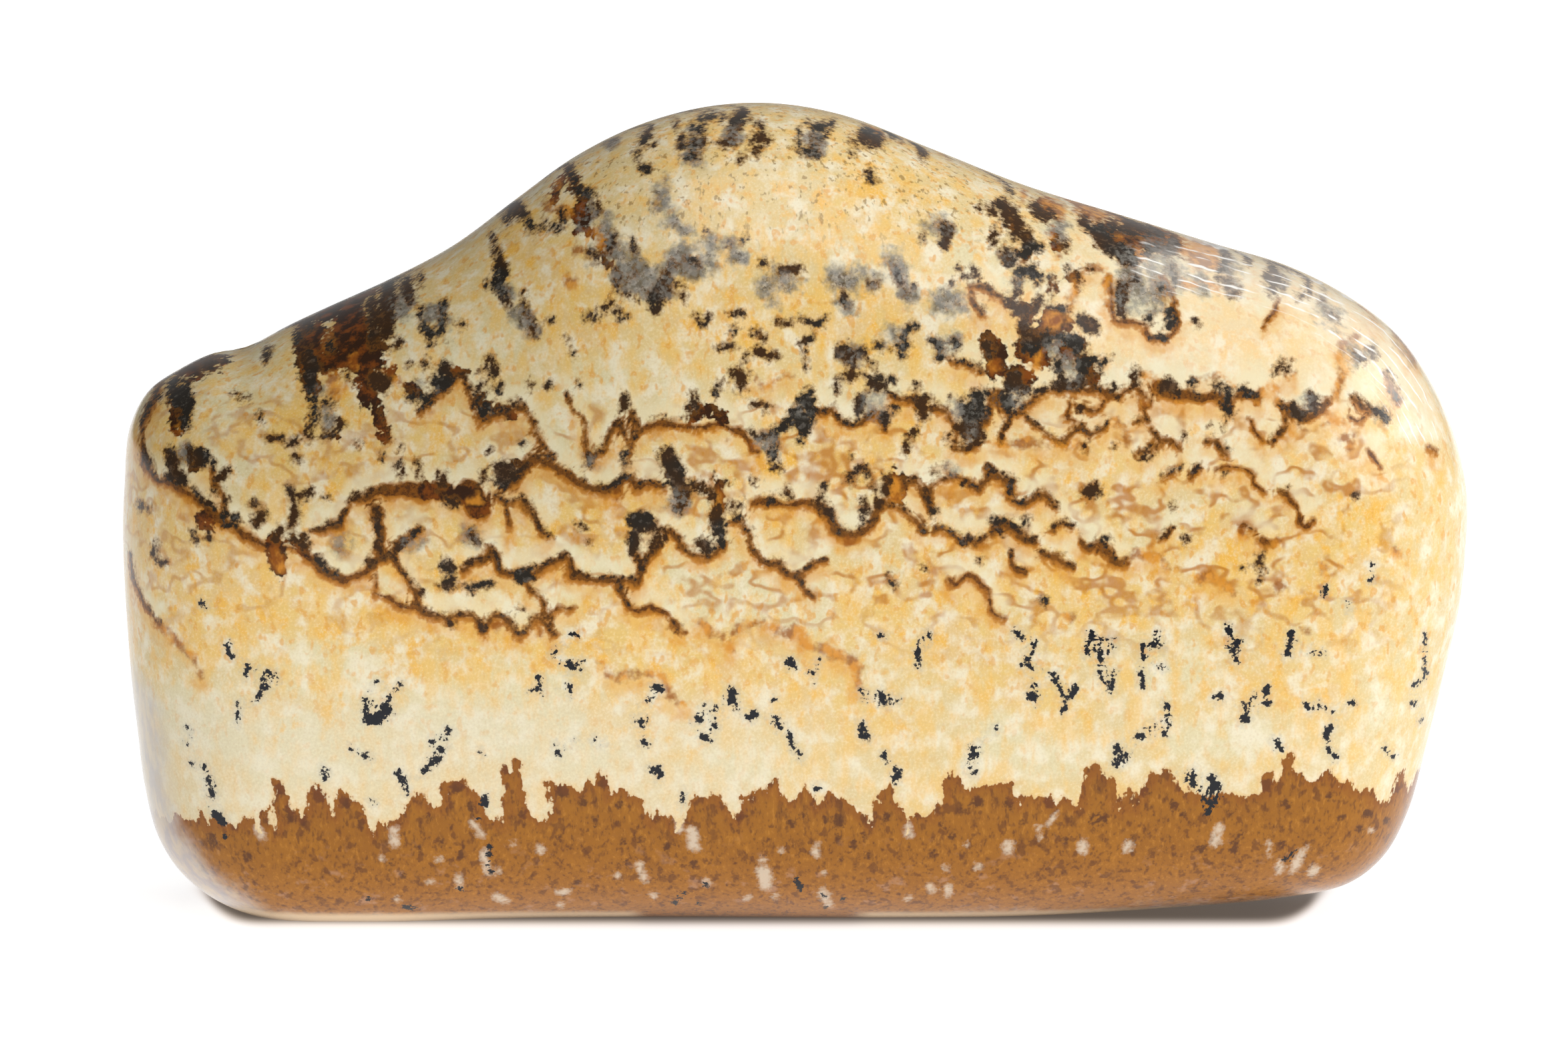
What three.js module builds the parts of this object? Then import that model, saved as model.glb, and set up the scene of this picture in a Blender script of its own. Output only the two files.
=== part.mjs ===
// A polished freeform of picture jasper: one solid stone in the shape of a thick slab with a humped top,
// every edge ground round, that stands on a narrow flat spot ground on its lower edge.
//
// Units are millimetres and +Z is up. The banded face looks along -Y, and X runs across it. The origin is
// under the middle of the stone, on the surface that it stands on.
import * as THREE from "three";

// Driving dimensions
const FRONT_DEPTH = 9.8; // from the rim's middle plane out to the banded face
const BACK_DEPTH = 9.2; // from the same plane to the back
const RIM_WIDTH = 8.6; // how far the rounding of the rim reaches in from the outline
const RIM_SQUARENESS = 2.5; // exponent of the rim's section, where 2 would give an ellipse
const CROWN = 1.3; // how much lower each face lies at the stone's ends than in its middle
const CROWN_REACH = [31, 19]; // X, Z from the middle to where the face is lower by that much
const WAVE_HEIGHT = 0.12; // soft unevenness that hand polishing leaves on the faces
const WAVE_LENGTH = [27, 21]; // X, Z
const WAVE_SHIFT = [0.8, -0.5]; // X, Z, in radians
const MIDDLE = [-0.5, 17.6]; // X, Z of the point that the rings close on

// The outline from the front as X, Z, clockwise from the left end. It has a nick beside the left shoulder.
// Along the bottom it dips under Z = 0, where the flat spot is ground.
const OUTLINE = [
  [-31.1, 17.6],
  [-31.0, 20.3],
  [-30.75, 22.75],
  [-29.95, 24.3],
  [-28.6, 25.25],
  [-27.0, 26.0],
  [-25.5, 26.25],
  [-24.6, 26.7],
  [-23.5, 27.3],
  [-21.8, 28.1],
  [-18.6, 29.55],
  [-15.8, 31.05],
  [-12.9, 33.2],
  [-10.2, 35.15],
  [-7.3, 36.6],
  [-4.0, 37.5],
  [-0.9, 37.65],
  [2.3, 37.1],
  [6.5, 35.5],
  [10.7, 33.85],
  [15.2, 32.45],
  [19.6, 31.1],
  [22.9, 30.1],
  [25.62, 28.75],
  [27.92, 27.0],
  [29.42, 24.95],
  [30.52, 22.55],
  [31.17, 19.8],
  [31.15, 17.2],
  [30.9, 14.6],
  [30.2, 11.3],
  [29.4, 7.9],
  [28.6, 4.9],
  [27.5, 2.8],
  [25.8, 1.45],
  [22.6, 0.75],
  [17.4, 0.3],
  [11.0, -0.06],
  [4.5, -0.14],
  [-2.0, -0.12],
  [-8.0, -0.12],
  [-14.0, -0.22],
  [-19.8, -0.48],
  [-24.0, -0.32],
  [-26.6, 0.5],
  [-28.5, 1.95],
  [-29.6, 3.7],
  [-30.2, 6.1],
  [-30.5, 8.6],
  [-30.8, 11.5],
];

// Facets
const SPAN_STEPS = 3; // steps between two points of the outline
const RIM_STEPS = 9; // rings over the rounding of the rim, on each side
const RIM_CROWDING = 1.5; // how much closer together they lie towards the outline, where 1 is not at all
const RIM_REACH = 9.8; // how far in from the outline the last of them lies, along the way to the middle
const FACE_RINGS = [0.8, 0.6, 0.4, 0.2]; // shares of the way out from the middle to the rim's end
const HALVED_RING = 0.6; // the ring that has half as many points as the one outside it

// The distance from the outline, which the rim's section follows
const FINE_POINTS = 1800; // evenly spaced points along the outline that it is worked out from
const NEAR = 0.3; // closer to the outline than this, it grows in proportion
const SHARPNESS = 6; // how closely it keeps to the shortest distance, where less rounds the corners more
const LINE_SUM = 16 / 15; // what the sum comes to at a distance of 1 from a straight line

const middle = new THREE.Vector2(...MIDDLE);
const outline = new THREE.CatmullRomCurve3(
  OUTLINE.map(([x, z]) => new THREE.Vector3(x, z, 0)),
  true,
  "centripetal",
);
outline.arcLengthDivisions = FINE_POINTS;
const finePoints = outline.getSpacedPoints(FINE_POINTS).slice(1);
const fineLength = outline.getLength() / FINE_POINTS;

// The distance from the outline, like the shortest one but with no crease where two sides are equally far.
function smoothDistance(x, z) {
  let sum = 0;
  for (const point of finePoints) sum += ((point.x - x) ** 2 + (point.y - z) ** 2) ** (-(SHARPNESS + 1) / 2);
  return ((sum * fineLength) / LINE_SUM) ** (-1 / SHARPNESS);
}

// Points round the outline, each with the way to the middle.
function outlineSpokes() {
  const points = outline.getPoints(OUTLINE.length * SPAN_STEPS).slice(1);
  return points.map(({ x, y }) => {
    const start = new THREE.Vector2(x, y);
    const inward = middle.clone().sub(start);
    return { start, length: inward.length(), inward: inward.normalize() };
  });
}

// Half the stone's thickness over its face, before the rim rounds it off.
function faceDepth(x, z, depth) {
  const dx = (x - middle.x) / CROWN_REACH[0];
  const dz = (z - middle.y) / CROWN_REACH[1];
  const waveX = Math.sin((2 * Math.PI * x) / WAVE_LENGTH[0] + WAVE_SHIFT[0]);
  const waveZ = Math.cos((2 * Math.PI * z) / WAVE_LENGTH[1] + WAVE_SHIFT[1]);
  return depth - CROWN * (dx * dx + dz * dz) + WAVE_HEIGHT * waveX * waveZ;
}

// A point of the surface at an inset along a spoke. side is -1 on the banded face and 1 on the back.
function surfacePoint(spoke, inset, side) {
  const at = (distance) => spoke.start.clone().addScaledVector(spoke.inward, distance);
  const far = at(Math.max(inset, NEAR));
  const distance = smoothDistance(far.x, far.y) * Math.min(inset / NEAR, 1);
  const flatness = Math.max(1 - distance / RIM_WIDTH, 0) ** RIM_SQUARENESS;
  const rise = (1 - flatness) ** (1 / RIM_SQUARENESS);
  const { x, y: z } = at(inset);
  return [x, side * rise * faceDepth(x, z, side < 0 ? FRONT_DEPTH : BACK_DEPTH), Math.max(z, 0)];
}

// The rings on one side, from the first one in from the outline to the last one round the middle.
function sideRings(spokes, side) {
  const rings = [];
  for (let i = 1; i <= RIM_STEPS; i++) {
    const angle = (Math.PI / 2) * (i / RIM_STEPS) ** RIM_CROWDING;
    const inset = 1 - Math.max(Math.cos(angle), 0) ** (2 / RIM_SQUARENESS);
    rings.push(spokes.map((s) => surfacePoint(s, inset * RIM_REACH, side)));
  }
  let kept = spokes;
  for (const share of FACE_RINGS) {
    if (share === HALVED_RING) kept = kept.filter((_, i) => i % 2 === 0);
    rings.push(kept.map((s) => surfacePoint(s, s.length - share * (s.length - RIM_REACH), side)));
  }
  return rings;
}

// Joins an outer ring to the next one in, which has as many points or half as many.
function stitch(triangles, outer, inner) {
  const n = inner.length;
  const step = outer.length / n;
  for (let i = 0; i < n; i++) {
    const next = (i + 1) % n;
    const a = outer[i * step];
    const b = outer[i * step + step - 1];
    const c = outer[((i + 1) * step) % outer.length];
    if (step === 1) {
      triangles.push([a, inner[next], c], [a, inner[i], inner[next]]);
    } else {
      triangles.push([a, inner[i], b], [b, inner[next], c], [b, inner[i], inner[next]]);
    }
  }
}

function stoneGeometry() {
  const positions = [];
  const addPoint = (point) => positions.push(point) - 1;
  const spokes = outlineSpokes();
  const rim = spokes.map((s) => addPoint(surfacePoint(s, 0, 1)));
  const triangles = [];
  for (const side of [-1, 1]) {
    const made = [];
    let outer = rim;
    for (const ring of sideRings(spokes, side)) {
      const inner = ring.map(addPoint);
      stitch(made, outer, inner);
      outer = inner;
    }
    const pole = addPoint(surfacePoint(spokes[0], spokes[0].length, side));
    outer.forEach((point, i) => made.push([point, pole, outer[(i + 1) % outer.length]]));
    triangles.push(...(side < 0 ? made : made.map(([a, b, c]) => [a, c, b])));
  }
  const geometry = new THREE.BufferGeometry();
  geometry.setAttribute("position", new THREE.Float32BufferAttribute(positions.flat(), 3));
  geometry.setIndex(triangles.flat());
  geometry.computeBoundingBox();
  const centre = geometry.boundingBox.getCenter(new THREE.Vector3());
  geometry.translate(-centre.x, -centre.y, -geometry.boundingBox.min.z);
  geometry.computeVertexNormals();
  return geometry;
}

const jasper = new THREE.MeshStandardMaterial({ color: 0xdcb679, roughness: 0.16, metalness: 0 });
const stone = new THREE.Mesh(stoneGeometry(), jasper);
stone.name = "jasper_stone";

const object = new THREE.Group();
object.add(stone);
export default object;
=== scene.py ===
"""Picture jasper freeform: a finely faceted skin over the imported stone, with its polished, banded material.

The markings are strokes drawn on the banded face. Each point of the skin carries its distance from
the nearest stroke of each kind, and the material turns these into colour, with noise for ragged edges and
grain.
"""
import math

import bpy
import numpy as np
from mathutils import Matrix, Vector


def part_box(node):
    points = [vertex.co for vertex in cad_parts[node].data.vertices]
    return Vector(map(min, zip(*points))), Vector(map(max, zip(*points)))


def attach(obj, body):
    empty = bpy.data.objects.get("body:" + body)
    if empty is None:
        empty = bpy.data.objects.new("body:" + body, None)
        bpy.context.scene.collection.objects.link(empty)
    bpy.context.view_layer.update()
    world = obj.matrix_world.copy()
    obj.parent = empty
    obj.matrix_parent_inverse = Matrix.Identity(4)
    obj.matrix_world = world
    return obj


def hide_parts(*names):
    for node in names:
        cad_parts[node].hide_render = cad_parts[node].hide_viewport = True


MM = 0.001
TINY = 1e-9

# -------------------------------------------------------------------------------------------------
# The stone's shape, in millimetres, as in its CAD source
# -------------------------------------------------------------------------------------------------
FRONT_DEPTH = 9.8  # from the rim's middle plane out to the banded face
BACK_DEPTH = 9.2  # from the same plane to the back
RIM_WIDTH = 8.6  # how far the rounding of the rim reaches in from the outline
RIM_SQUARENESS = 2.5  # exponent of the rim's section, where 2 would give an ellipse
CROWN = 1.3  # how much lower each face lies at the stone's ends than in its middle
CROWN_REACH = (31, 19)  # X, Z from the middle to where the face is lower by that much
WAVE_HEIGHT = 0.12  # soft unevenness that hand polishing leaves on the faces
WAVE_LENGTH = (27, 21)  # X, Z
WAVE_SHIFT = (0.8, -0.5)  # X, Z, in radians
MIDDLE = (-0.5, 17.6)  # X, Z of the point that the grids close on
RIM_REACH = 9.8  # how far in from the outline the rim's part of a grid ends
NEAR = 0.3  # closer to the outline than this, the rim distance grows in proportion
SHARPNESS = 6  # how closely the rim distance keeps to the shortest one, where less rounds the corners more
LINE_SUM = 16 / 15  # what the sum behind it comes to at a distance of 1 from a straight line
OUTLINE = [
    [-31.1, 17.6], [-31.0, 20.3], [-30.75, 22.75], [-29.95, 24.3], [-28.6, 25.25], [-27.0, 26.0],
    [-25.5, 26.25], [-24.6, 26.7], [-23.5, 27.3], [-21.8, 28.1], [-18.6, 29.55], [-15.8, 31.05],
    [-12.9, 33.2], [-10.2, 35.15], [-7.3, 36.6], [-4.0, 37.5], [-0.9, 37.65], [2.3, 37.1], [6.5, 35.5],
    [10.7, 33.85], [15.2, 32.45], [19.6, 31.1], [22.9, 30.1], [25.62, 28.75], [27.92, 27.0], [29.42, 24.95],
    [30.52, 22.55], [31.17, 19.8], [31.15, 17.2], [30.9, 14.6], [30.2, 11.3], [29.4, 7.9], [28.6, 4.9],
    [27.5, 2.8], [25.8, 1.45], [22.6, 0.75], [17.4, 0.3], [11.0, -0.06], [4.5, -0.14], [-2.0, -0.12],
    [-8.0, -0.12], [-14.0, -0.22], [-19.8, -0.48], [-24.0, -0.32], [-26.6, 0.5], [-28.5, 1.95],
    [-29.6, 3.7], [-30.2, 6.1], [-30.5, 8.6], [-30.8, 11.5],
]

# -------------------------------------------------------------------------------------------------
# The markings on the banded face, in millimetres, X and Z. A stroke is its half width and then its points.
# -------------------------------------------------------------------------------------------------
# The jagged upper edge of the ochre band, from left to right
BAND_TOP = [
    -34, 5.6, -31, 5.3, -29.5, 5.2, -28.8, 5, -28.5, 5.4, -28.2, 5.05, -27.9, 5.2, -27.6, 5.35,
    -27.35, 5.15, -27.2, 5.7, -27, 6, -26.85, 5.6, -26.75, 5, -26.6, 5.3, -26.5, 5.7, -26.2, 5.6, -26, 5.2,
    -25.7, 5, -25.4, 5.2, -25, 5.6, -24.85, 5.6, -24.6, 5.1, -24.4, 5, -24.35, 5.9, -24.15, 6.1, -23.9, 6.1,
    -23.85, 5.4, -23.7, 4.9, -23.6, 5.2, -23.65, 6.5, -23.6, 7.3, -23.45, 7.45, -23.25, 7, -23, 6.5,
    -22.8, 6.2, -22.45, 5.75, -22.1, 6.4, -22, 7.1, -21.9, 7.4, -21.75, 7.1, -21.4, 6.7, -21.25, 6.2,
    -21.1, 5.8, -20.95, 6.3, -20.8, 6.9, -20.65, 7, -20.4, 6.7, -20.1, 6.5, -19.7, 6.1, -19.5, 5.6,
    -19.2, 4.9, -19.05, 5.3, -18.95, 5.55, -18.7, 5.4, -18.4, 5.5, -18.25, 5.15, -18.1, 5.2, -17.9, 5.9,
    -17.85, 6.5, -17.5, 6.6, -17.2, 7.1, -16.8, 7, -16.7, 6.4, -16.3, 6.3, -15.9, 6.15, -15.9, 6.65,
    -16.15, 7.15, -15.75, 7.4, -15.2, 7.6, -15.1, 7.35, -14.7, 7.15, -14.35, 6.75, -14.1, 6.5, -14, 5.65,
    -13.65, 5.55, -13.3, 5.4, -13.25, 6, -13.25, 7, -13.4, 7.3, -13.45, 8.15, -13.25, 8.4, -12.95, 8,
    -12.75, 8.6, -12.35, 8.35, -12.35, 7.4, -12.2, 6.5, -12.1, 5.75, -11.7, 5.5, -11.25, 5.75, -11.1, 6.25,
    -11.25, 6.65, -11.35, 7.4, -11.15, 7.6, -10.85, 7.25, -10.4, 7.45, -10.2, 7.2, -9.95, 7, -9.5, 7.1,
    -9.4, 7.5, -9.2, 7.35, -9.15, 7.9, -8.85, 8.1, -8.6, 7.65, -8.3, 7.35, -8.4, 6.85, -8.1, 7, -7.8, 7.3,
    -7.45, 7, -6.9, 6.5, -6.7, 6, -6.4, 5.6, -6.2, 6.15, -5.8, 5.9, -5.4, 5.75, -5.3, 5.2, -5, 5.3,
    -4.85, 6.1, -4.75, 6.5, -4.4, 6.8, -4.1, 6.6, -3.75, 6.75, -3.4, 6.65, -3.2, 6.3, -3, 6.4, -2.9, 6.1,
    -2.65, 5.55, -2.5, 6.05, -2.4, 6.75, -2, 6.65, -1.8, 7.1, -1.3, 7, -1.05, 7.5, -.85, 7.65, -.65, 7.3,
    -.5, 6.75, -.25, 6.55, .15, 6.8, .3, 7.25, .45, 7.3, .6, 7.05, 1, 6.8, 1.15, 6.3, 1.4, 6.4, 1.55, 7,
    1.8, 6.95, 2.05, 6.65, 2.45, 6.65, 2.7, 6.25, 2.95, 5.8, 3.25, 5.9, 3.45, 5.4, 3.7, 5.9, 3.8, 6.8,
    4.1, 7.15, 4.45, 7.25, 4.6, 6.8, 4.9, 6.4, 5.2, 6, 5.3, 5, 5.4, 5.8, 5.65, 6.1, 6, 5.9, 6.35, 5.9,
    6.6, 6.3, 6.9, 6.4, 6.9, 7.5, 7.1, 7.65, 7.27, 7.95, 7.47, 7.65, 7.7, 7.1, 8.1, 7, 8.4, 7.3, 8.7, 7.45,
    9.35, 7.4, 10, 7.35, 10.1, 6.75, 10.3, 6.75, 10.37, 6.4, 10.6, 6.8, 11.15, 6.7, 11.6, 6.7, 11.85, 6.4,
    12.2, 6.7, 12.5, 6.7, 12.9, 6.2, 13.15, 6.7, 13.1, 7.35, 13.3, 7.6, 13.4, 8.15, 13.65, 8.35, 13.95, 8.2,
    14.1, 7.8, 14.5, 7.4, 14.75, 6.65, 14.95, 6.05, 15.05, 6.7, 15.2, 7.1, 15.4, 6.8, 15.65, 6.05,
    15.8, 6.9, 16.1, 7.2, 16.1, 7.8, 16.5, 7.7, 16.85, 7.9, 17.4, 7.9, 17.5, 7.2, 17.9, 6.95, 18.4, 6.85,
    19, 6.7, 19.5, 6.85, 20, 6.9, 20.45, 6.7, 21, 6.9, 21.3, 6.8, 21.55, 7, 21.4, 7.6, 21.9, 7.8, 22, 7.15,
    22.2, 7.6, 22.4, 8.2, 22.7, 8.6, 22.9, 8.2, 23.1, 7.7, 23.4, 7.3, 23.7, 7.3, 24, 7.6, 24.5, 7.9,
    24.6, 7.5, 24.8, 7, 25.1, 7, 25.3, 7.1, 25.6, 6.7, 25.9, 6.6, 26.1, 6.7, 26.5, 6.8, 26.7, 6.2, 27, 6.1,
    27.3, 6.1, 27.6, 6.6, 27.8, 7.3, 28.1, 7.4, 28.1, 6.8, 28.4, 6.3, 28.6, 6.6, 28.9, 7, 29.5, 7.2,
    34, 6.8,
]

# Brown and ochre veins: half width, how much of it is black, and the points
VEINS = [
    [.1, .8, -30.5, 17.3, -30.3, 16, -30, 15.2, -29.7, 14.8, -29.3, 14.4, -29.05, 14.35],
    [.14, 0, -29, 14.3, -28.5, 14, -28.1, 13.5, -27.8, 13.2, -27.4, 12.9, -27.2, 12.2],
    [.16, .8, -21.9, 18.9, -20.75, 19.15, -20.35, 19.7, -20.1, 20.25, -19.45, 20.4, -19, 20.7, -18.4, 20.9],
    [.35, .4, -18.4, 20.9, -17.6, 20.9, -17, 20.8, -16.3, 20.9, -15.4, 20.6, -14.9, 20.6],
    [.42, .3, -14.7, 20.9, -14.4, 20.3, -14.3, 19.8],
    [.14, 1, -13.6, 20.6, -13.2, 20.3, -13.1, 20, -13, 19.5, -13, 19.2],
    [.22, .6, -13.2, 21.2, -12.7, 21.3, -12.4, 21.6, -12.2, 22, -11.8, 22.2, -11.2, 22.1, -10.9, 22,
     -10.6, 21.7, -10.3, 21.5, -10, 21.2, -9.6, 20.95, -9.2, 20.8, -8.8, 20.8, -8.3, 20.9, -8, 20.9,
     -7.8, 21.2, -7.5, 21.5, -7.3, 21.4, -7, 21.1, -6.6, 21.2, -6.2, 21, -5.9, 20.9],
    [.12, 0, -8, 20.9, -8.05, 20.5, -8.1, 20.2],
    [.1, 1, -12.9, 20.3, -12.5, 20.4, -12.2, 20.2, -11.9, 19.9, -11.7, 19.6, -11.6, 19.3, -11.55, 19,
     -11.3, 18.8, -11.1, 18.75], [.28, 1, -18.95, 19.9, -18.8, 19, -18.75, 18.3, -18.8, 17.9],
    [.15, 1, -19.1, 17.5, -18.7, 17.75, -18.2, 17.8, -18.1, 18],
    [.15, 1, -16.95, 19.1, -17.3, 18.9, -17.5, 18.7, -17.9, 18.5, -18.1, 18.2, -18.1, 17.9, -18, 17.4,
     -17.8, 17, -17.5, 16.7, -17.3, 16.4, -17.1, 16.2, -17.15, 15.8, -17.1, 15.5, -16.9, 15.3, -16.6, 15.15,
     -16.3, 15.05, -16, 15], [.1, .3, -19, 16, -18.5, 15.95, -18, 15.6, -17.7, 15.4, -17.3, 15.4],
    [.1, .3, -19, 17, -18.95, 16.2],
    [.13, .5, -16, 15, -15.8, 14.8, -15.6, 15, -15.2, 15.1, -14.7, 15.05, -14.5, 14.8, -14.3, 14.5,
     -14.15, 14.3, -13.95, 14.6, -13.6, 15, -13.3, 15, -13, 14.8, -12.8, 14.5, -12.6, 14.3, -12.4, 14.2,
     -12.1, 14.4, -11.9, 14.7, -11.6, 14.9, -11.3, 14.8, -11.1, 14.5, -10.9, 14.3, -10.7, 14.3],
    [.12, 1, -12.1, 16.5, -12, 16.1, -11.8, 16, -11.5, 15.8, -11.35, 15.5, -11.3, 15.2, -11.1, 15,
     -10.9, 14.6], [.08, .4, -10.9, 15.2, -10.6, 15.5, -10.3, 15.4, -9.9, 15.5],
    [.15, .9, -14.9, 17.3, -14.6, 17.5, -14.2, 17.6, -14, 18, -14, 18.3],
    [.15, .9, -13.95, 18.2, -13.7, 17.9, -13.5, 17.5, -13.3, 17.2, -13, 17, -12.6, 16.95, -12.2, 17,
     -11.9, 16.9, -11.6, 17.1, -11.2, 17.4, -10.8, 17.5, -10.5, 17.7],
    [.15, .6, -10.5, 17.7, -10.3, 17.5, -10.2, 17.2, -10, 16.95, -9.6, 16.8, -9.2, 16.7, -8.5, 16.7,
     -8.1, 16.7, -7.6, 16.8, -7.3, 16.8, -7, 16.7, -6.9, 17], [.16, .9, -6.9, 17, -6.95, 17.5, -7.1, 17.9],
    [.13, .6, -6.1, 18.3, -6.7, 17.6, -6.9, 17.3],
    [.12, .5, -6.1, 19, -5.7, 19.05, -5.4, 18.8, -5.2, 18.5, -5, 18.1, -4.6, 17.9, -4.2, 17.75, -3.8, 17.8,
     -3.3, 18.2, -3, 18.5], [.17, .6, -8.1, 16.6, -7.8, 16.2, -7.7, 15.8, -7.5, 15.5],
    [.13, .3, -7.5, 15.5, -7, 15.4, -6.6, 15.5, -6.1, 15.3, -5.8, 15.1, -5.6, 14.8, -5.4, 14.6, -5.2, 14.4,
     -4.9, 14.3],
    [.12, 0, -8.8, 13, -8.4, 12.6, -8.1, 12.3, -7.6, 12.3, -7, 12.4, -6.4, 12.4, -6, 12.2, -5.9, 11.8,
     -5.6, 11.4, -5.3, 11.1, -5, 11.1], [.12, 0, -4.2, 14.8, -3.9, 14.5, -3.6, 14.2, -3.2, 14, -3, 13.5],
    [.12, 0, -3, 14.3, -2.5, 14.6, -2, 14.8, -1.5, 14.85, -1.2, 14.7, -.9, 14.4],
    [.18, .2, -.9, 14.4, -.5, 14.3, -.1, 14.4, .3, 14.2, .5, 13.9, .8, 13.65, 1.1, 13.6, 1.5, 13.45,
     2, 13.3], [.13, 0, 2, 13.3, 2.4, 13.1, 2.8, 12.9, 3, 12.4, 3, 11.8],
    [.13, .5, -2.9, 19.5, -2.5, 19.5, -2.3, 19.1, -2, 18.9, -1.9, 18.4, -1.6, 18, -1.4, 17.7, -1, 17.6,
     -.7, 17.6, -.5, 17.4, -.3, 17.1, 0, 17, .3, 16.95], [.11, .9, .3, 16.95, .4, 16.5, .6, 16.3, .9, 16],
    [.12, .9, .2, 16.9, .6, 17.3, .9, 17.6, 1.2, 17.7, 1.4, 17.8],
    [.16, .4, -2, 20.3, -1.6, 20.4, -1.2, 20.35, -.7, 20.2, -.2, 20.1, .1, 20.2, .4, 20.35, .7, 20.3,
     .9, 20.1],
    [.22, .7, .9, 20.1, 1.2, 20, 1.5, 19.7, 1.6, 19.5, 1.9, 19.1, 2.2, 18.9, 2.5, 18.8, 2.9, 18.9,
     3.2, 19.1, 3.5, 19.3, 3.7, 19.6, 3.9, 20.1, 4, 20.4],
    [.13, .6, 5, 21.2, 5.4, 21.3, 5.7, 21.3, 5.8, 20.9, 5.9, 20.5, 6.1, 20.1, 6.2, 20.6, 6.3, 21, 6.6, 21.3,
     7, 21.4, 7.4, 21.4, 7.8, 21.3, 8.1, 21.1, 8.5, 20.9, 8.7, 21.3, 8.9, 21.5],
    [.26, .6, 8.9, 21.9, 9.1, 21.6, 9.5, 21.4, 9.8, 21.1, 9.7, 20.6],
    [.1, .5, 9.7, 20.5, 9.9, 20.4, 10.3, 20.2, 10.6, 20.2, 10.9, 20.3, 11.2, 20.7, 11.5, 20.6, 11.7, 20.2,
     11.9, 20], [.1, .8, 4.3, 20.2, 4.8, 20, 5.1, 19.8, 5.4, 19.5, 5.6, 19.2, 5.8, 18.9],
    [.11, .5, 6.3, 19, 6.6, 19, 7, 18.9, 7.4, 18.7, 7.6, 18.5, 8, 18.7, 8.3, 18.5, 8.6, 18.6, 9, 18.8],
    [.18, .9, 9, 18.9, 9.3, 19.1, 9.8, 19.3, 10.1, 19, 10.4, 18.8, 10.7, 18.6, 11, 18.5],
    [.1, .3, 7, 16.8, 7.3, 16.5, 7.6, 16.7, 7.9, 17, 8.2, 16.9, 8.5, 16.5, 8.8, 16.2, 8.9, 15.8, 9.1, 15.4,
     9.4, 15.1, 9.6, 15], [.14, .8, 11.7, 19.1, 11.9, 19.3, 12.2, 19.4, 12.6, 19.2],
    [.15, .8, 13, 18.6, 13.2, 18.4, 13.5, 18.3, 13.8, 18.5, 14, 18.4, 14.2, 18.1, 14.4, 17.7, 14.7, 17.5,
     15, 17.5], [.12, .1, 15, 17.5, 15.2, 17.7, 15.5, 17.9, 15.8, 17.8, 16.2, 17.7, 16.6, 17.5, 17, 17.2],
    [.14, .5, 11.2, 17.9, 11.8, 17.7, 12.3, 17.5, 12.7, 17.4],
    [.2, .8, 9.8, 18, 9.9, 17.5, 10.2, 17.2, 10.6, 17.1], [.09, .9, 17.1, 19.1, 16.8, 18.7, 16.5, 18.6],
    [.18, .1, 18.6, 16.8, 19, 16.9, 19.4, 16.6, 19.9, 16.3], [.16, .4, 20.3, 19, 20.5, 19.15, 20.9, 19],
    [.17, .4, 21.1, 18.6, 21.3, 18.6, 21.7, 18.4],
    [.1, .3, 19.2, 21.7, 19.6, 21.95, 20, 21.95, 20.5, 21.8, 20.9, 21.6, 21, 21.1, 21.5, 20.8],
    [.15, .3, 22.1, 20.8, 22.4, 20.6, 22.7, 20.2, 22.9, 19.8, 23, 19.4, 23.3, 19.2, 23.5, 19.3, 23.7, 19.5],
    [.11, .9, 16.7, 21.4, 17.1, 21.6, 17.5, 21.7], [.11, .9, 18.1, 21.4, 18.3, 21.7, 18.5, 21.7],
    [.08, .7, 10.3, 24.3, 10.6, 24.1, 10.9, 23.8, 11.3, 23.5, 11.6, 23.3, 12, 23.05],
    [.12, .8, 12, 23.05, 12.3, 23.2, 12.7, 23.5, 13, 23.8, 13.1, 23.9, 13.3, 23.5, 13.5, 23.35, 13.9, 23.5,
     14.2, 23.7], [.1, 0, 14.2, 23.7, 14.6, 23.8, 14.9, 23.5, 15.1, 23.1, 15.2, 22.9],
    [.08, .2, 8.5, 23, 9.5, 22.95, 10.3, 23, 11, 23, 12, 23, 13, 22.9, 13.3, 22.7],
    [.09, .9, 9.8, 24.2, 9.6, 23.7, 9.5, 23.1], [.07, .9, 15.4, 23.8, 15.8, 23.95, 16, 23.7],
    [.12, .9, 16.2, 23.3, 16.5, 23.1, 16.9, 23.1, 17.1, 23, 17.4, 22.6],
    [.09, .6, 18.7, 23, 19, 23.1, 19.3, 22.9, 19.5, 22.6, 19.8, 22.5],
    [.09, .4, 20.7, 24, 20.8, 23.6, 21.1, 23.2], [.07, .9, 15.55, 22.3, 15.8, 22.5, 16.2, 22.5, 16.5, 22.8],
    [.17, .4, 13.2, 25.3, 13.9, 25.2, 14.4, 25.1, 14.7, 25, 15, 25.3, 15.3, 25.4, 15.6, 25.2, 15.8, 24.9],
    [.11, 0, 15.7, 25.9, 16, 25.9, 16.3, 25.8, 16.4, 25.5],
    [.3, .4, 16.4, 25.5, 16.9, 25.3, 17.4, 25.2, 17.9, 25.2, 18.4, 25, 18.9, 25.1, 19.4, 25, 19.8, 24.7],
    [.17, .5, 20, 24.9, 20.4, 25.2, 20.7, 25.1, 21, 24.9],
    [.12, .1, 21, 24.8, 21.2, 25.3, 21.6, 25.5, 21.95, 25.3, 22, 24.9, 22.1, 24.5],
    [.09, .6, 22.2, 24.1, 22.2, 23.7, 21.9, 23.3, 21.6, 23],
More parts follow.
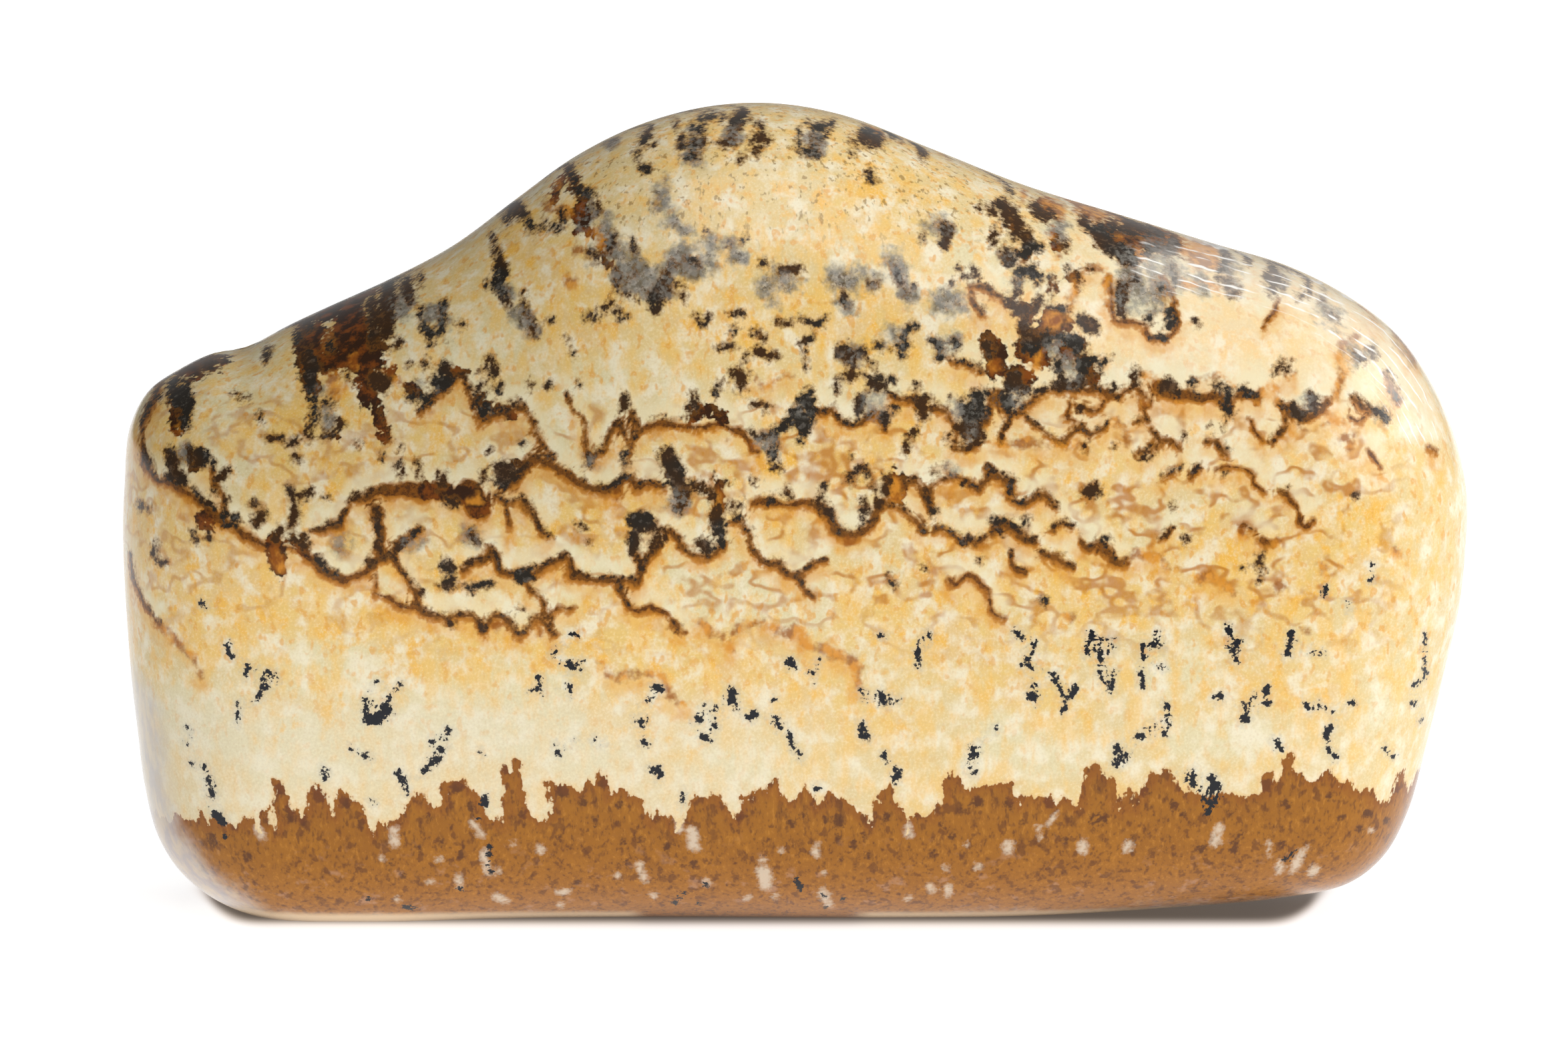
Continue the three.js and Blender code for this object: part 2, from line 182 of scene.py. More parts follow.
    [.22, .5, 22.2, 24.6, 22.7, 24.4, 23, 24.2, 23.6, 24.2, 24.1, 24.4, 24.3, 24.8],
    [.1, .1, 12.4, 28.5, 12.5, 29.1, 12.7, 29.6, 12.8, 30.1, 13.1, 30.5, 13.6, 30.75, 14, 30.7,
     14.25, 30.4],
    [.14, .4, 14.25, 30.4, 14.3, 30, 14.4, 29.5, 14.4, 29, 14.5, 28.6, 14.9, 28.45, 15.3, 28.45, 15.9, 28.3,
     16, 27.9, 16.3, 27.7, 16.8, 27.65, 17.2, 27.8, 17.3, 28.3, 17.35, 28.8, 17.2, 29.4, 17, 29.9,
     16.8, 30.2], [.09, .8, 7, 26.85, 7.3, 26.6, 7.9, 26.5, 8.3, 26.25, 8.6, 26.1],
    [.08, .7, 8, 29.9, 8.3, 29.95, 8.8, 29.8, 9, 29.5, 9.4, 29.4, 9.7, 29.1],
    [.09, .9, 8.1, 29.4, 8.35, 28.9, 8.55, 28.7],
    [.14, .5, 6.2, 24.6, 6.6, 24.6, 6.9, 24.4, 7.1, 24.1, 7.3, 23.8, 7.4, 23.4, 7.3, 22.9, 7.8, 22.8,
     8.4, 22.9], [.11, .5, 8.7, 24, 8.8, 24.6, 9, 25, 9.1, 25.3],
    [.14, .6, 9.3, 25.3, 9.4, 24.8, 9.6, 24.4, 10, 24.3, 10.5, 24.7, 10.8, 25, 11.2, 25.2, 11.7, 25.4,
     12.5, 25.2, 13, 25.4], [.14, .5, 4.3, 25.1, 4.9, 24.9, 5.3, 24.9, 5.6, 24.8],
    [.12, .5, 1, 24.5, 1.4, 24.4, 1.7, 24.5, 1.9, 24.2, 2.2, 23.9, 2.6, 23.8, 3, 23.9, 3.3, 24.2, 3.8, 24.3,
     4.1, 24, 4.2, 23.7],
    [.07, .2, -2, 25.9, -1.5, 25.6, -1.3, 25.4, -1.1, 25.6, -.9, 25.9, -.4, 26.1, -.1, 26.1],
    [.11, .9, -12.15, 24.4, -11.9, 23.95, -11.65, 23.45, -11.5, 23, -11.25, 22.6, -10.95, 22.4],
    [.09, .8, -10.3, 25.1, -10.1, 24.4, -9.7, 24.25, -9.55, 23.7, -9.45, 23, -9.3, 22.5, -8.9, 22.45,
     -8.6, 22.6, -8.4, 23.1, -8.25, 23.55, -7.9, 23.95, -7.6, 23.6, -7.5, 23.05],
    [.11, .9, -7.35, 24.3, -6.95, 23.6, -7.3, 22.8, -7.35, 22.3],
    [.1, .6, -29.2, 24.9, -29.45, 24.4, -29.75, 23.8, -30.05, 23.2, -30.1, 22.7, -29.95, 22.2, -29.75, 21.7,
     -29.45, 21.2, -29.1, 20.9, -28.6, 21.05],
    [.22, .35, -28.6, 21, -27.9, 20.6, -27.3, 20.3, -26.9, 20, -26.4, 19.6, -25.9, 19.35, -25.4, 19.05,
     -24.8, 18.7, -24.3, 18.3, -23.8, 18.15, -23.2, 18.1, -22.6, 17.9, -22, 17.6, -21.5, 17.2, -20.9, 16.9,
     -20.4, 16.7, -20, 16.8, -19.5, 17, -19.1, 17.4],
    [.08, .5, -26.6, 21.6, -26.35, 21, -26.1, 20.6, -26, 20.2, -25.85, 19.8],
    [.1, .5, -17, 24.4, -16.7, 24.7, -16.4, 25.1, -16, 25.3, -15.7, 25.5, -15.4, 25.8, -15.1, 25.8,
     -14.9, 25.4, -14.7, 25, -14.5, 24.6, -14.3, 24.1, -14.1, 23.9],
    [.07, .5, -18.9, 24.3, -18.7, 23.9, -18.5, 23.5, -18.4, 23.1],
    [.2, .5, -14.3, 24.3, -13.8, 24.1, -13.3, 24.2, -12.8, 24.4, -12.4, 24.6],
    [.09, .1, 12.5, 29, 12.6, 29.6, 12.7, 30.2, 13, 30.5, 13.5, 30.75, 14, 30.6, 14.2, 30.2, 14.1, 29.8,
     14.2, 29.2], [.06, .3, 12.4, 24.8, 12.4, 24.5, 12.2, 24.2, 12.4, 24.1, 12.8, 24, 13, 24],
    [.06, .3, 13.1, 24.7, 13.4, 24.5, 13.7, 24.4, 13.9, 24.7, 14, 24.9],
    [.07, .3, 15.5, 25.1, 15.6, 24.7, 15.85, 24.4, 16.1, 24.6, 16.2, 25],
    [.06, .2, 22.6, 23.4, 22.9, 23.6, 23.3, 23.5],
    [.05, .3, 22.1, 29.1, 21.9, 28.7, 21.6, 28.4, 21.4, 28.1],
    [.05, .1, 18.2, 25.95, 18.8, 25.85, 19.3, 26, 19.7, 25.7, 20, 25.4],
    [.06, .1, 22.3, 25.95, 22.6, 25.8, 22.8, 26],
    [.1, .1, 25, 27.3, 24.85, 26.6, 24.9, 26.1, 24.75, 25.5, 24.7, 25.1],
    [.07, .1, 25, 27.2, 25.4, 27.3, 25.7, 27.4],
    [.12, .6, 25.4, 24.9, 25.7, 24.75, 25.95, 24.5, 26.2, 24.3], [.07, .6, 27.4, 25, 27.55, 24.4],
    [.05, .6, 27.2, 25.7, 27.6, 25.1], [.05, .3, 25.3, 24, 25.6, 23.85, 26, 24],
    [.06, .1, 24.1, 23.75, 24.6, 23.95, 25, 23.8],
    [.11, .4, 26.1, 22.45, 26.4, 22.25, 26.6, 21.9, 26.75, 21.6],
    [.07, .1, 25.4, 23.3, 25.3, 22.9, 25.1, 22.6], [.06, .4, 29.05, 22.35, 29.35, 22.1],
    [.1, .2, 27.7, 27.25, 28.1, 26.75, 28.6, 26.1], [.08, .1, 26.3, 28.4, 26.8, 28],
    [.13, .3, -6.9, 23.6, -6.3, 23.85, -5.5, 23.9, -4.9, 23.85, -4, 23.85, -3.3, 23.9, -2.9, 23.6,
     -2.5, 23.6, -2.2, 23.4, -2, 23, -1.9, 22.7, -1.6, 22.6],
]

# Black and black-brown blotches of the upper part
DARKS = [
    [.17, -18.9, 19.7, -18.9, 18.3], [.2, -19.2, 17.5], [.12, -17, 19.1, -18.2, 18], [.15, -17.95, 21.9],
    [.12, -17.1, 21.8], [.1, -11.8, 28.3, -11.8, 27.8],
    [.07, -4.5, 28.9, -4.3, 28.45, -4.05, 28.4, -3.9, 28.8], [.07, -10.2, 27.7], [.08, -9.95, 26.9],
    [.12, -9.7, 25.75], [.12, -7.6, 24.95, -7.6, 24.5], [.13, -11.1, 25.6], [.1, -12, 25.6],
    [.1, -12.3, 23], [.12, -5.6, 22.4], [.27, 3.3, 36.5, 3.7, 36.3], [.13, 4.6, 36.3, 5.1, 36.2],
    [.22, 6, 35.8], [.1, 2.8, 36.35], [.1, 2.7, 36], [.09, 3.5, 35, 3.6, 34.6], [.12, -4.1, 32.5],
    [.12, -3, 31.9], [.12, -2.3, 32.2], [.14, -1.3, 31.2], [.2, -.3, 30.9, .2, 30.9],
    [.22, 4.7, 30.7, 4.7, 30.4], [.17, 5, 29.9], [.1, 5.5, 30.1], [.11, 5.9, 32.1],
    [.15, 6.9, 32.6, 6.9, 31.8], [.13, 2.3, 29.7, 2.5, 29.2], [.12, 3.6, 30.2],
    [.07, -3.4, 27.35, -3, 27.45, -2.6, 27.35], [.16, -1.8, 27.2, -1, 27], [.12, -2.8, 28.1],
    [.13, -1.8, 28.1, -1.4, 27.8], [.11, -.8, 28.5, -.2, 28.4], [.07, .3, 28.7, 1.2, 28.3],
    [.14, 1.3, 28.6], [.17, .3, 27.5, .8, 27.8], [.14, .4, 27.1], [.1, .5, 26.8, .5, 26.5],
    [.22, 2.3, 27.3, 2.6, 26.9, 3.2, 27.1], [.13, 4, 27.4], [.15, 4.7, 27.35, 4.9, 27.1],
    [.08, 5, 27.9, 5.1, 27.4], [.11, 5.2, 28.2, 5.5, 28.3], [.06, -2.3, 27, -2.3, 26.7],
    [.07, -3, 28.9, -2.4, 29], [.27, -2.6, 26.1, -2.3, 25.9], [.12, -2.4, 25.7, -2.4, 25.2],
    [.09, -3.6, 25.1, -3.4, 25.3, -3.2, 25.6], [.15, -4.5, 25, -4.6, 24.6],
    [.11, -1.9, 23.6, -1.7, 23.3, -1.3, 23.3], [.1, -.9, 23, -.9, 22.5, -.7, 22, -.9, 21.85],
    [.15, -1.2, 23.4, -.9, 23.5, -.6, 23.6, -.3, 23.8, -.1, 24.1, 0, 24.4],
    [.22, .8, 25.3, .5, 25, .2, 24.3], [.17, .75, 24.9, .7, 24.3], [.27, .25, 24, .4, 23.6], [.1, .3, 23.1],
    [.09, -1.9, 24.7, -1.6, 24.8, -1.2, 24.5], [.17, 3.2, 26, 3.6, 25.8, 4, 25.9],
    [.25, 3.5, 25.6, 4, 25.5], [.11, 2.8, 26.8, 2.8, 26.2, 3, 26.1], [.09, 3.3, 27, 3.6, 26.5, 3.7, 26.1],
    [.13, 2, 25.8, 2.4, 25.8, 2.7, 26], [.09, 1.9, 25.7, 1.9, 25.3], [.18, 2.95, 24.9, 2.95, 24.4],
    [.15, 4.2, 24.4, 4.15, 23.9], [.1, 4.6, 24.5], [.27, 5.7, 24.7, 5.85, 24.3], [.11, 5.9, 25],
    [.11, 5.4, 23.6, 5.2, 23.3, 5.2, 22.9, 5.2, 22.7], [.32, 7.7, 24.5, 7.9, 23.9],
    [.23, 8.5, 25, 8.4, 24.4], [.27, 7.5, 23.7, 8.4, 23.4], [.1, 7.1, 25], [.11, 6.95, 23.4],
    [.11, 7.2, 23.1, 7.8, 22.9, 8.4, 23], [.12, 5.5, 25.6], [.12, 4.5, 25.8], [.1, 2.5, 22.3],
    [.12, 2.4, 21.3, 2.5, 21.6, 2.8, 21.8, 3.1, 21.9, 3.3, 21.6, 3.4, 21.2], [.11, 3.7, 20.9, 3.7, 20.3],
    [.17, 4.2, 21.6, 4.1, 20.9], [.17, 6.4, 21.8], [.07, 7, 22], [.16, 7.7, 21.15], [.18, 9, 21.8],
    [.13, 1.3, 21, 1.25, 20.3, 1.3, 20.1], [.11, -.4, 20.9, -.3, 20.5], [.13, -1.1, 20.4], [.22, 1.5, 19.8],
    [.14, 2.1, 19.05], [.14, 3.1, 20.2, 3.1, 19.5], [.12, 3, 20.4], [.11, 6.1, 20.3], [.14, 6.3, 19.9],
    [.4, -5.7, 22.3, -5.5, 21.7], [.3, -5.5, 21.2, -5.2, 20.7], [.18, -5.1, 20.4, -5.2, 20.1],
    [.17, -4.9, 21, -4.2, 21], [.18, -4.2, 20.9, -3.8, 20.5], [.14, -3.1, 21.2],
    [.28, -3.5, 19.9, -3.4, 19], [.18, -3.3, 18.9, -3.3, 18.4], [.1, -2.9, 20.2, -2.5, 20.2, -2.4, 20.3],
    [.14, -2.7, 19.7], [.27, -4.2, 18.4, -4, 18.1], [.07, -3.7, 21.6], [.07, -1.9, 21.4, -1.7, 21.2],
    [.32, -7.2, 19.4, -6.8, 19.5], [.18, -6.6, 19.2], [.18, -7.3, 18.9, -7.3, 18.1],
    [.17, -6.1, 19.1, -6.1, 18.6, -6.4, 18.3], [.11, -7.1, 17.9, -6.9, 17.3],
    [.09, -9.7, 19.3, -9.55, 19.1], [.09, -9.3, 18.4], [.18, -11.1, 18.8], [.2, -9.2, 22.2],
    [.18, -7.6, 22.5, -7.4, 22.2], [.3, -13.2, 21.7, -13.2, 21.3], [.18, -12.6, 21.6],
    [.1, -17.85, 21.9, -17.8, 21.5], [.09, -17.1, 22.2, -17, 21.5], [.14, -16.1, 21.6, -16, 21],
    [.1, -14.1, 21.7, -14.2, 21.2], [.13, -15.7, 20.3, -15.2, 20.2], [.15, -16, 17.4, -15.6, 17.3],
    [.16, -15.5, 16.8, -15.7, 16.4], [.11, -16.9, 16.1],
    [.11, -14.8, 16.6, -14.4, 16.5, -14, 16.5, -13.7, 16.5], [.1, -14.6, 16.3],
    [.25, -12.4, 16.8, -12, 16.8], [.15, -15.65, 14.75], [.11, -14.15, 14.4], [.13, -12.4, 15.4],
    [.1, -14.7, 18.8, -14.4, 18.4], [.11, -10.9, 14.4], [.13, -5.2, 14.4], [.08, -5.6, 14.8],
    [.2, 9.6, 33.3, 9.75, 32.8], [.15, 10, 33.2, 10.3, 32.5], [.12, 10.1, 32.2], [.12, 9.1, 33.1],
    [.08, 8.5, 33.3], [.1, 9.2, 32.2], [.12, 9, 31.8], [.18, 10.6, 32.15, 10.6, 31.8, 11.1, 31.6],
    [.15, 12.2, 31.9, 12.35, 31.6], [.22, 9.6, 31.4, 9.8, 31.05], [.17, 10.4, 31.4],
    [.22, 10.3, 30.6, 10.8, 30.6], [.18, 11, 30.4, 11.1, 30.1], [.11, 12.4, 30.7, 12.6, 30.2],
    [.11, 12.8, 30.5, 12.9, 29.9], [.09, 11.6, 30.4, 11.7, 29.6], [.08, 13.4, 30.7],
    [.15, 13.3, 32.6, 13.8, 32.3], [.17, 11, 33.3, 11.4, 32.9, 11.8, 32.9], [.1, 7.6, 35.3],
    [.07, 9.3, 34.6, 10, 33.9], [.27, 14, 32.2, 14.4, 31.7], [.27, 15, 31.4, 15.4, 30.9],
    [.16, 14.6, 32.2, 16, 32.2, 17, 31.9], [.18, 16.6, 31.5], [.18, 17.2, 31.3, 17.6, 31.5],
    [.22, 16.2, 31.5], [.27, 14.9, 29.8, 14.8, 29], [.22, 15.5, 30.1], [.17, 16.1, 28.8, 16, 28.5],
    [.25, 16.8, 29.7], [.17, 17.1, 28.8, 17.1, 28.2], [.1, 16.3, 27.75, 16.9, 27.7],
    [.22, 13.1, 28.5, 13.5, 28.2], [.11, 10.1, 30.4, 10.1, 29.5], [.27, 9.9, 29.2, 10.3, 29],
    [.14, 11.1, 29.4, 11, 29], [.17, 11.6, 29, 12.4, 28.9], [.22, 10.4, 28.5],
    [.27, 10.6, 27.9, 10.7, 27.4], [.22, 11.5, 27.7], [.22, 12.1, 27.7, 12.7, 27.6, 13, 27.2],
    [.22, 12, 26.7, 12, 25.8], [.17, 13, 26.7, 13.1, 25.8], [.22, 12.3, 25.5, 12.9, 25.6],
    [.3, 10, 26, 9.9, 25.5], [.28, 9.6, 25, 9.8, 24.7], [.27, 10.4, 25.3],
    [.17, 10.9, 25.2, 11.3, 25.4, 11.8, 25.5], [.22, 8.8, 27.4, 8.9, 27], [.16, 13.6, 26.7],
    [.08, 14.2, 26.7], [.08, 13.8, 26.1], [.1, 7.3, 27.7, 7.5, 27.3],
    [.14, 6.5, 27.6, 6.7, 27.2, 6.6, 26.9], [.1, 6.3, 27.7], [.12, 7.3, 30.1], [.1, 7.5, 30.8, 7.7, 30.4],
    [.09, 8.2, 30.7, 8.2, 30.3], [.11, 13.7, 25.3], [.11, 14.4, 25.5, 14.4, 25.3], [.1, 14.6, 24.9],
    [.22, 15.4, 26, 15.4, 25.5], [.09, 15.4, 26.3], [.14, 15.2, 25.4], [.18, 16.7, 25.5, 17, 25.7],
    [.22, 17.2, 25.4, 17.4, 25.3], [.15, 18.1, 25.7], [.2, 18.3, 25.2], [.18, 19.2, 25.4, 19.5, 25.4],
    [.27, 19.6, 25.1, 19.8, 24.6], [.18, 19.9, 24.3], [.11, 20.3, 25.4], [.15, 20.7, 25.1],
    [.22, 22.7, 24.4, 23, 24.2], [.18, 23.6, 24.9, 23.8, 24.5], [.13, 22.2, 24.6], [.1, 18.9, 23.7],
    [.06, 19.6, 23.7], [.11, 17.7, 23.4], [.11, 14.6, 22.7], [.17, 13.3, 20.65, 13.8, 20.8],
    [.07, 13.7, 21], [.11, 13, 24.6], [.11, 9.2, 19.2], [.14, 9.4, 18.9], [.11, 10.6, 19.4],
    [.11, 14.2, 18.6], [.13, 17.9, 18.6], [.06, 17.1, 20.1], [.15, 19.6, 21.6], [.1, 8.3, 17.8],
    [.13, 11.3, 15.8], [.1, 4.2, 16.9, 4.4, 16.6], [.08, 5.9, 17.3], [.13, 7.7, 18.5, 8, 18.65],
    [.22, 9.2, 19.3], [.07, 23.2, 30.1, 23.7, 29.7], [.06, 23.4, 29.2, 23, 29.1], [.11, 22.2, 20.8],
    [.11, 25.6, 20.5], [.09, 21.2, 17.9, 21.2, 17.4, 21.4, 17.2], [.07, 21.2, 16.8], [.07, 20.5, 17.3],
    [.3, -28.6, 24.9, -28.3, 24.6], [.26, -28, 24.9, -27.8, 24.4], [.16, -27.9, 24, -27.8, 23.5],
    [.12, -27.3, 25.9, -26.7, 26.05], [.1, -29.2, 24.5], [.2, -28.5, 22.3, -28.4, 21.8],
    [.26, -28.3, 21.3, -28, 21], [.12, -27.6, 22.4, -27.5, 21.9], [.2, -27.1, 22.3, -27, 22, -26.85, 22.25],
    [.1, -29.9, 22.2, -29.6, 21.6], [.13, -27.3, 20.6, -27.1, 20.3], [.12, -26.9, 20.2, -26.5, 19.9],
    [.13, -25.65, 21.55, -25.95, 21.25, -26.3, 21.15], [.08, -26.5, 21.9], [.16, -25.95, 20.2, -25.9, 19.6],
    [.08, -26.4, 20.6], [.18, -25.5, 19.5], [.14, -25.8, 19.2, -25.3, 19.1],
    [.2, -24.45, 19.4, -24.3, 19.65], [.05, -24.7, 20.15, -24.3, 20.15],
    [.12, -22.85, 20.9, -22.7, 20.5, -22.7, 19.9, -22.75, 19.4], [.1, -22.9, 19.2],
    [.09, -22.4, 20.5, -22.1, 20.6, -22, 20.8], [.05, -21.3, 20.5],
    [.08, -25.8, 24.85, -25.35, 24.65, -24.9, 24.7], [.1, -24.35, 24.15, -24.25, 24],
    [.11, -24.05, 23.15, -23.7, 23.1, -23.45, 23.1], [.09, -23.1, 22.75, -22.9, 22.8, -22.65, 22.95],
    [.05, -22.8, 22.2, -22.5, 22.1], [.13, -24.2, 26.6, -24.25, 26.25], [.2, -23.4, 19, -23.5, 18.6],
    [.18, -22.8, 18.6, -22.5, 18.2], [.1, -22.4, 18.7, -22.2, 18.2], [.14, -21.7, 17.6, -21.3, 17.3],
    [.12, -20.9, 17], [.25, -18.6, 29.2, -18.6, 28.8], [.33, -18.7, 28.4, -18.6, 28],
    [.22, -18.6, 27.8, -18.65, 27.6], [.22, -19.2, 28, -19.1, 27.2], [.2, -17.8, 29.5, -17.6, 29.1],
    [.15, -17.1, 29.95], [.09, -17, 28.9, -17, 28.5], [.12, -16, 29, -16, 28.8], [.2, -18.05, 27.2],
    [.08, -18.4, 27.1], [.2, -16.8, 27.95, -16.5, 27.75], [.17, -16, 28.3, -16.15, 27.7],
    [.11, -15.1, 28.1], [.08, -16.6, 27.2], [.05, -15.8, 27.4], [.13, -17.5, 26.4], [.1, -16.8, 26.35],
    [.3, -19, 25.8, -18.7, 25.5], [.14, -20.4, 25.8], [.24, -17.4, 25], [.28, -16.4, 25.7, -15.9, 25.6],
    [.18, -16.8, 25.1, -16.7, 24.8], [.16, -16, 26.2, -15.8, 26.3], [.3, -22.4, 27.9], [.22, -22.9, 27.3],
    [.4, -22.3, 26.5, -22.1, 26.1], [.25, -22.1, 25.4], [.25, -21.4, 26.9], [.22, -19.5, 28.6, -19.3, 28.2],
    [.14, -22, 25.1, -21.9, 24.4, -21.85, 23.9], [.12, -21.3, 24.75, -21.05, 24.6],
    [.24, -20.8, 23.8, -20.75, 23.6], [.22, -21.2, 23.25, -21, 23.2], [.09, -22.05, 23.5, -22, 22.9],
    [.2, -14.3, 25.5, -14.15, 25], [.22, -14, 24.6, -13.9, 24.3], [.3, -13.1, 24.4], [.18, -12.6, 24.7],
    [.17, -13.9, 26.7, -13.8, 26.3, -13.5, 25.9], [.18, -13.3, 25.4, -13.25, 25], [.07, -14.3, 26.1],
    [.13, -15, 26, -14.9, 25.6], [.12, -13.8, 22.7],
    [.06, -29.2, 18.1, -29.3, 17.6, -29, 17.2, -28.8, 17.25], [.09, -27.4, 18.7, -27.3, 18.3],
    [.07, -26.7, 18.8, -26.65, 18.5], [.11, -29.95, 19.7, -30.05, 19.5], [.07, -29.6, 19.5],
    [.06, -18.7, 22.6, -18.7, 22.2], [.1, -17.85, 22.75], [.07, -19.9, 22.85, -19.7, 22.8],
    [.2, -10.2, 34.8, -10, 34.4], [.26, -9.8, 34.1, -9.3, 33.9], [.2, -9, 33.6, -8.9, 33.3],
    [.22, -12.9, 33.1, -12.4, 32.95], [.2, -12.2, 32.8, -12, 32.4], [.14, -13.2, 32.75],
    [.07, -11.6, 32.3, -11.2, 32.6, -10.7, 32.5, -10.4, 32.8], [.1, -10.5, 33, -10.5, 33.3],
    [.2, -9.3, 31.6, -9.1, 31.3], [.1, -8.2, 32.4, -8.3, 31.7], [.1, -7.3, 32.1, -7.2, 31.6],
    [.07, -8.4, 31, -8.1, 30.6, -7.9, 30.4], [.08, -8.1, 30.1, -7.6, 29.7, -7.1, 29.4],
    [.26, -6.4, 29.4, -6.3, 29], [.28, -6, 29.8, -5.8, 30.3], [.13, -5.2, 30.3], [.1, -5, 29.8, -4.9, 29.5],
    [.12, -7.2, 30.6], [.15, -5.6, 31], [.13, -4.8, 31.2, -4.4, 31.1], [.15, -13.7, 31.4, -13.5, 31],
    [.2, -13.5, 30.9, -13.3, 30.5], [.12, -13.4, 30.2, -13.3, 29.8], [.15, -13.2, 29.5, -13, 29.1],
    [.1, -13.9, 31.9, -13.8, 31.6], [.12, -13.9, 29.9], [.12, -12.2, 29.6], [.1, -12.3, 29.2, -12.1, 28.9],
    [.17, -11.9, 28.6, -11.8, 28.3], [.14, -11, 28.65], [.05, -11.5, 28.3], [.06, -11.9, 27.8, -11.7, 27.7],
    [.1, -9.5, 28.75, -9.1, 28.65], [.12, -8.6, 29.05, -8.3, 29.3],
    [.08, -8.1, 29, -7.9, 28.6, -7.6, 28.65], [.08, -8.7, 36.1, -8.2, 36.3], [.1, -7.2, 35.85, -7.15, 35.5],
    [.11, -7, 35.25, -6.6, 35.1], [.12, -6.9, 36.3, -6.7, 36.5], [.12, -6.6, 36.7], [.1, -6.3, 36.1],
    [.09, -5.4, 36.9], [.12, -4.6, 36.9, -4.1, 36.9], [.17, -4.5, 36.3, -4.1, 36.4],
    [.09, -5.1, 36.5, -5.1, 36.1], [.09, -4.8, 36.3], [.09, -4.9, 35.7, -4.4, 35.8],
    [.1, -4.1, 37.3, -3.6, 37.4], [.08, -3.3, 37.3], [.14, -2.9, 37.1, -2.5, 37],
    [.18, -2.6, 37.3, -2.2, 37.5], [.13, -2.9, 36.7, -2.8, 36.4], [.14, -3.2, 36.3, -2.7, 36.2],
    [.08, -1.7, 37.2, -1.3, 37.1], [.1, -1.2, 36.75], [.2, -1.8, 36.5, -1.2, 36.5],
    [.16, -1.6, 36.2, -1.6, 35.9], [.09, .75, 37.1], [.17, 1.2, 36.9, 1.5, 36.9], [.09, 1.75, 37],
    [.08, 1.05, 36.7, 1.3, 36.45, 1.5, 36.5, 1.6, 36.8], [.09, .4, 36.8, .3, 36.4, .35, 36.1],
    [.13, .5, 36, .9, 35.9, 1.1, 35.8], [.09, 1.1, 36.2], [.1, -2.3, 35.7], [.06, 22.5, 30.3, 22.9, 30.1],
    [.06, 23.55, 29.6, 23.6, 29.2], [.05, 18, 28.3, 18.25, 28], [.1, 17.2, 30.6, 17.4, 30],
    [.08, 13.2, 22.9, 13.3, 22.6], [.08, 16.3, 22.4, 15.7, 22.2], [.08, 22.3, 26.2, 22.2, 26.5],
    [.06, 21.9, 26.15, 22.3, 26.2], [.06, 22.6, 26.35, 22.55, 26.05], [.12, 19.9, 30.9, 19.7, 30.4],
    [.1, 19.5, 30.1, 19.9, 29.8], [.07, 20.3, 29.6, 20.1, 29.4], [.1, 20.9, 30.7],
    [.14, 22, 30.2, 22.1, 29.8], [.12, 21.7, 29.9, 21.9, 29.5], [.08, 22.4, 29.6], [.08, 24.2, 29],
    [.08, 24.6, 28.3], [.07, 24.9, 28.1], [.1, 25.6, 26.7, 26, 26.45], [.08, 26.4, 26.85],
    [.07, 26.6, 26.55], [.13, 26.5, 24.2, 26.8, 24.05], [.12, 27, 23.8], [.09, 27.5, 24.6],
    [.09, -4.6, 25, -4.5, 24.8], [.05, -5.9, 24.15], [.05, -5.6, 24.1], [.06, -5.1, 24.2],
    [.08, -3.5, 24.45], [.05, -6.4, 24.1],
]

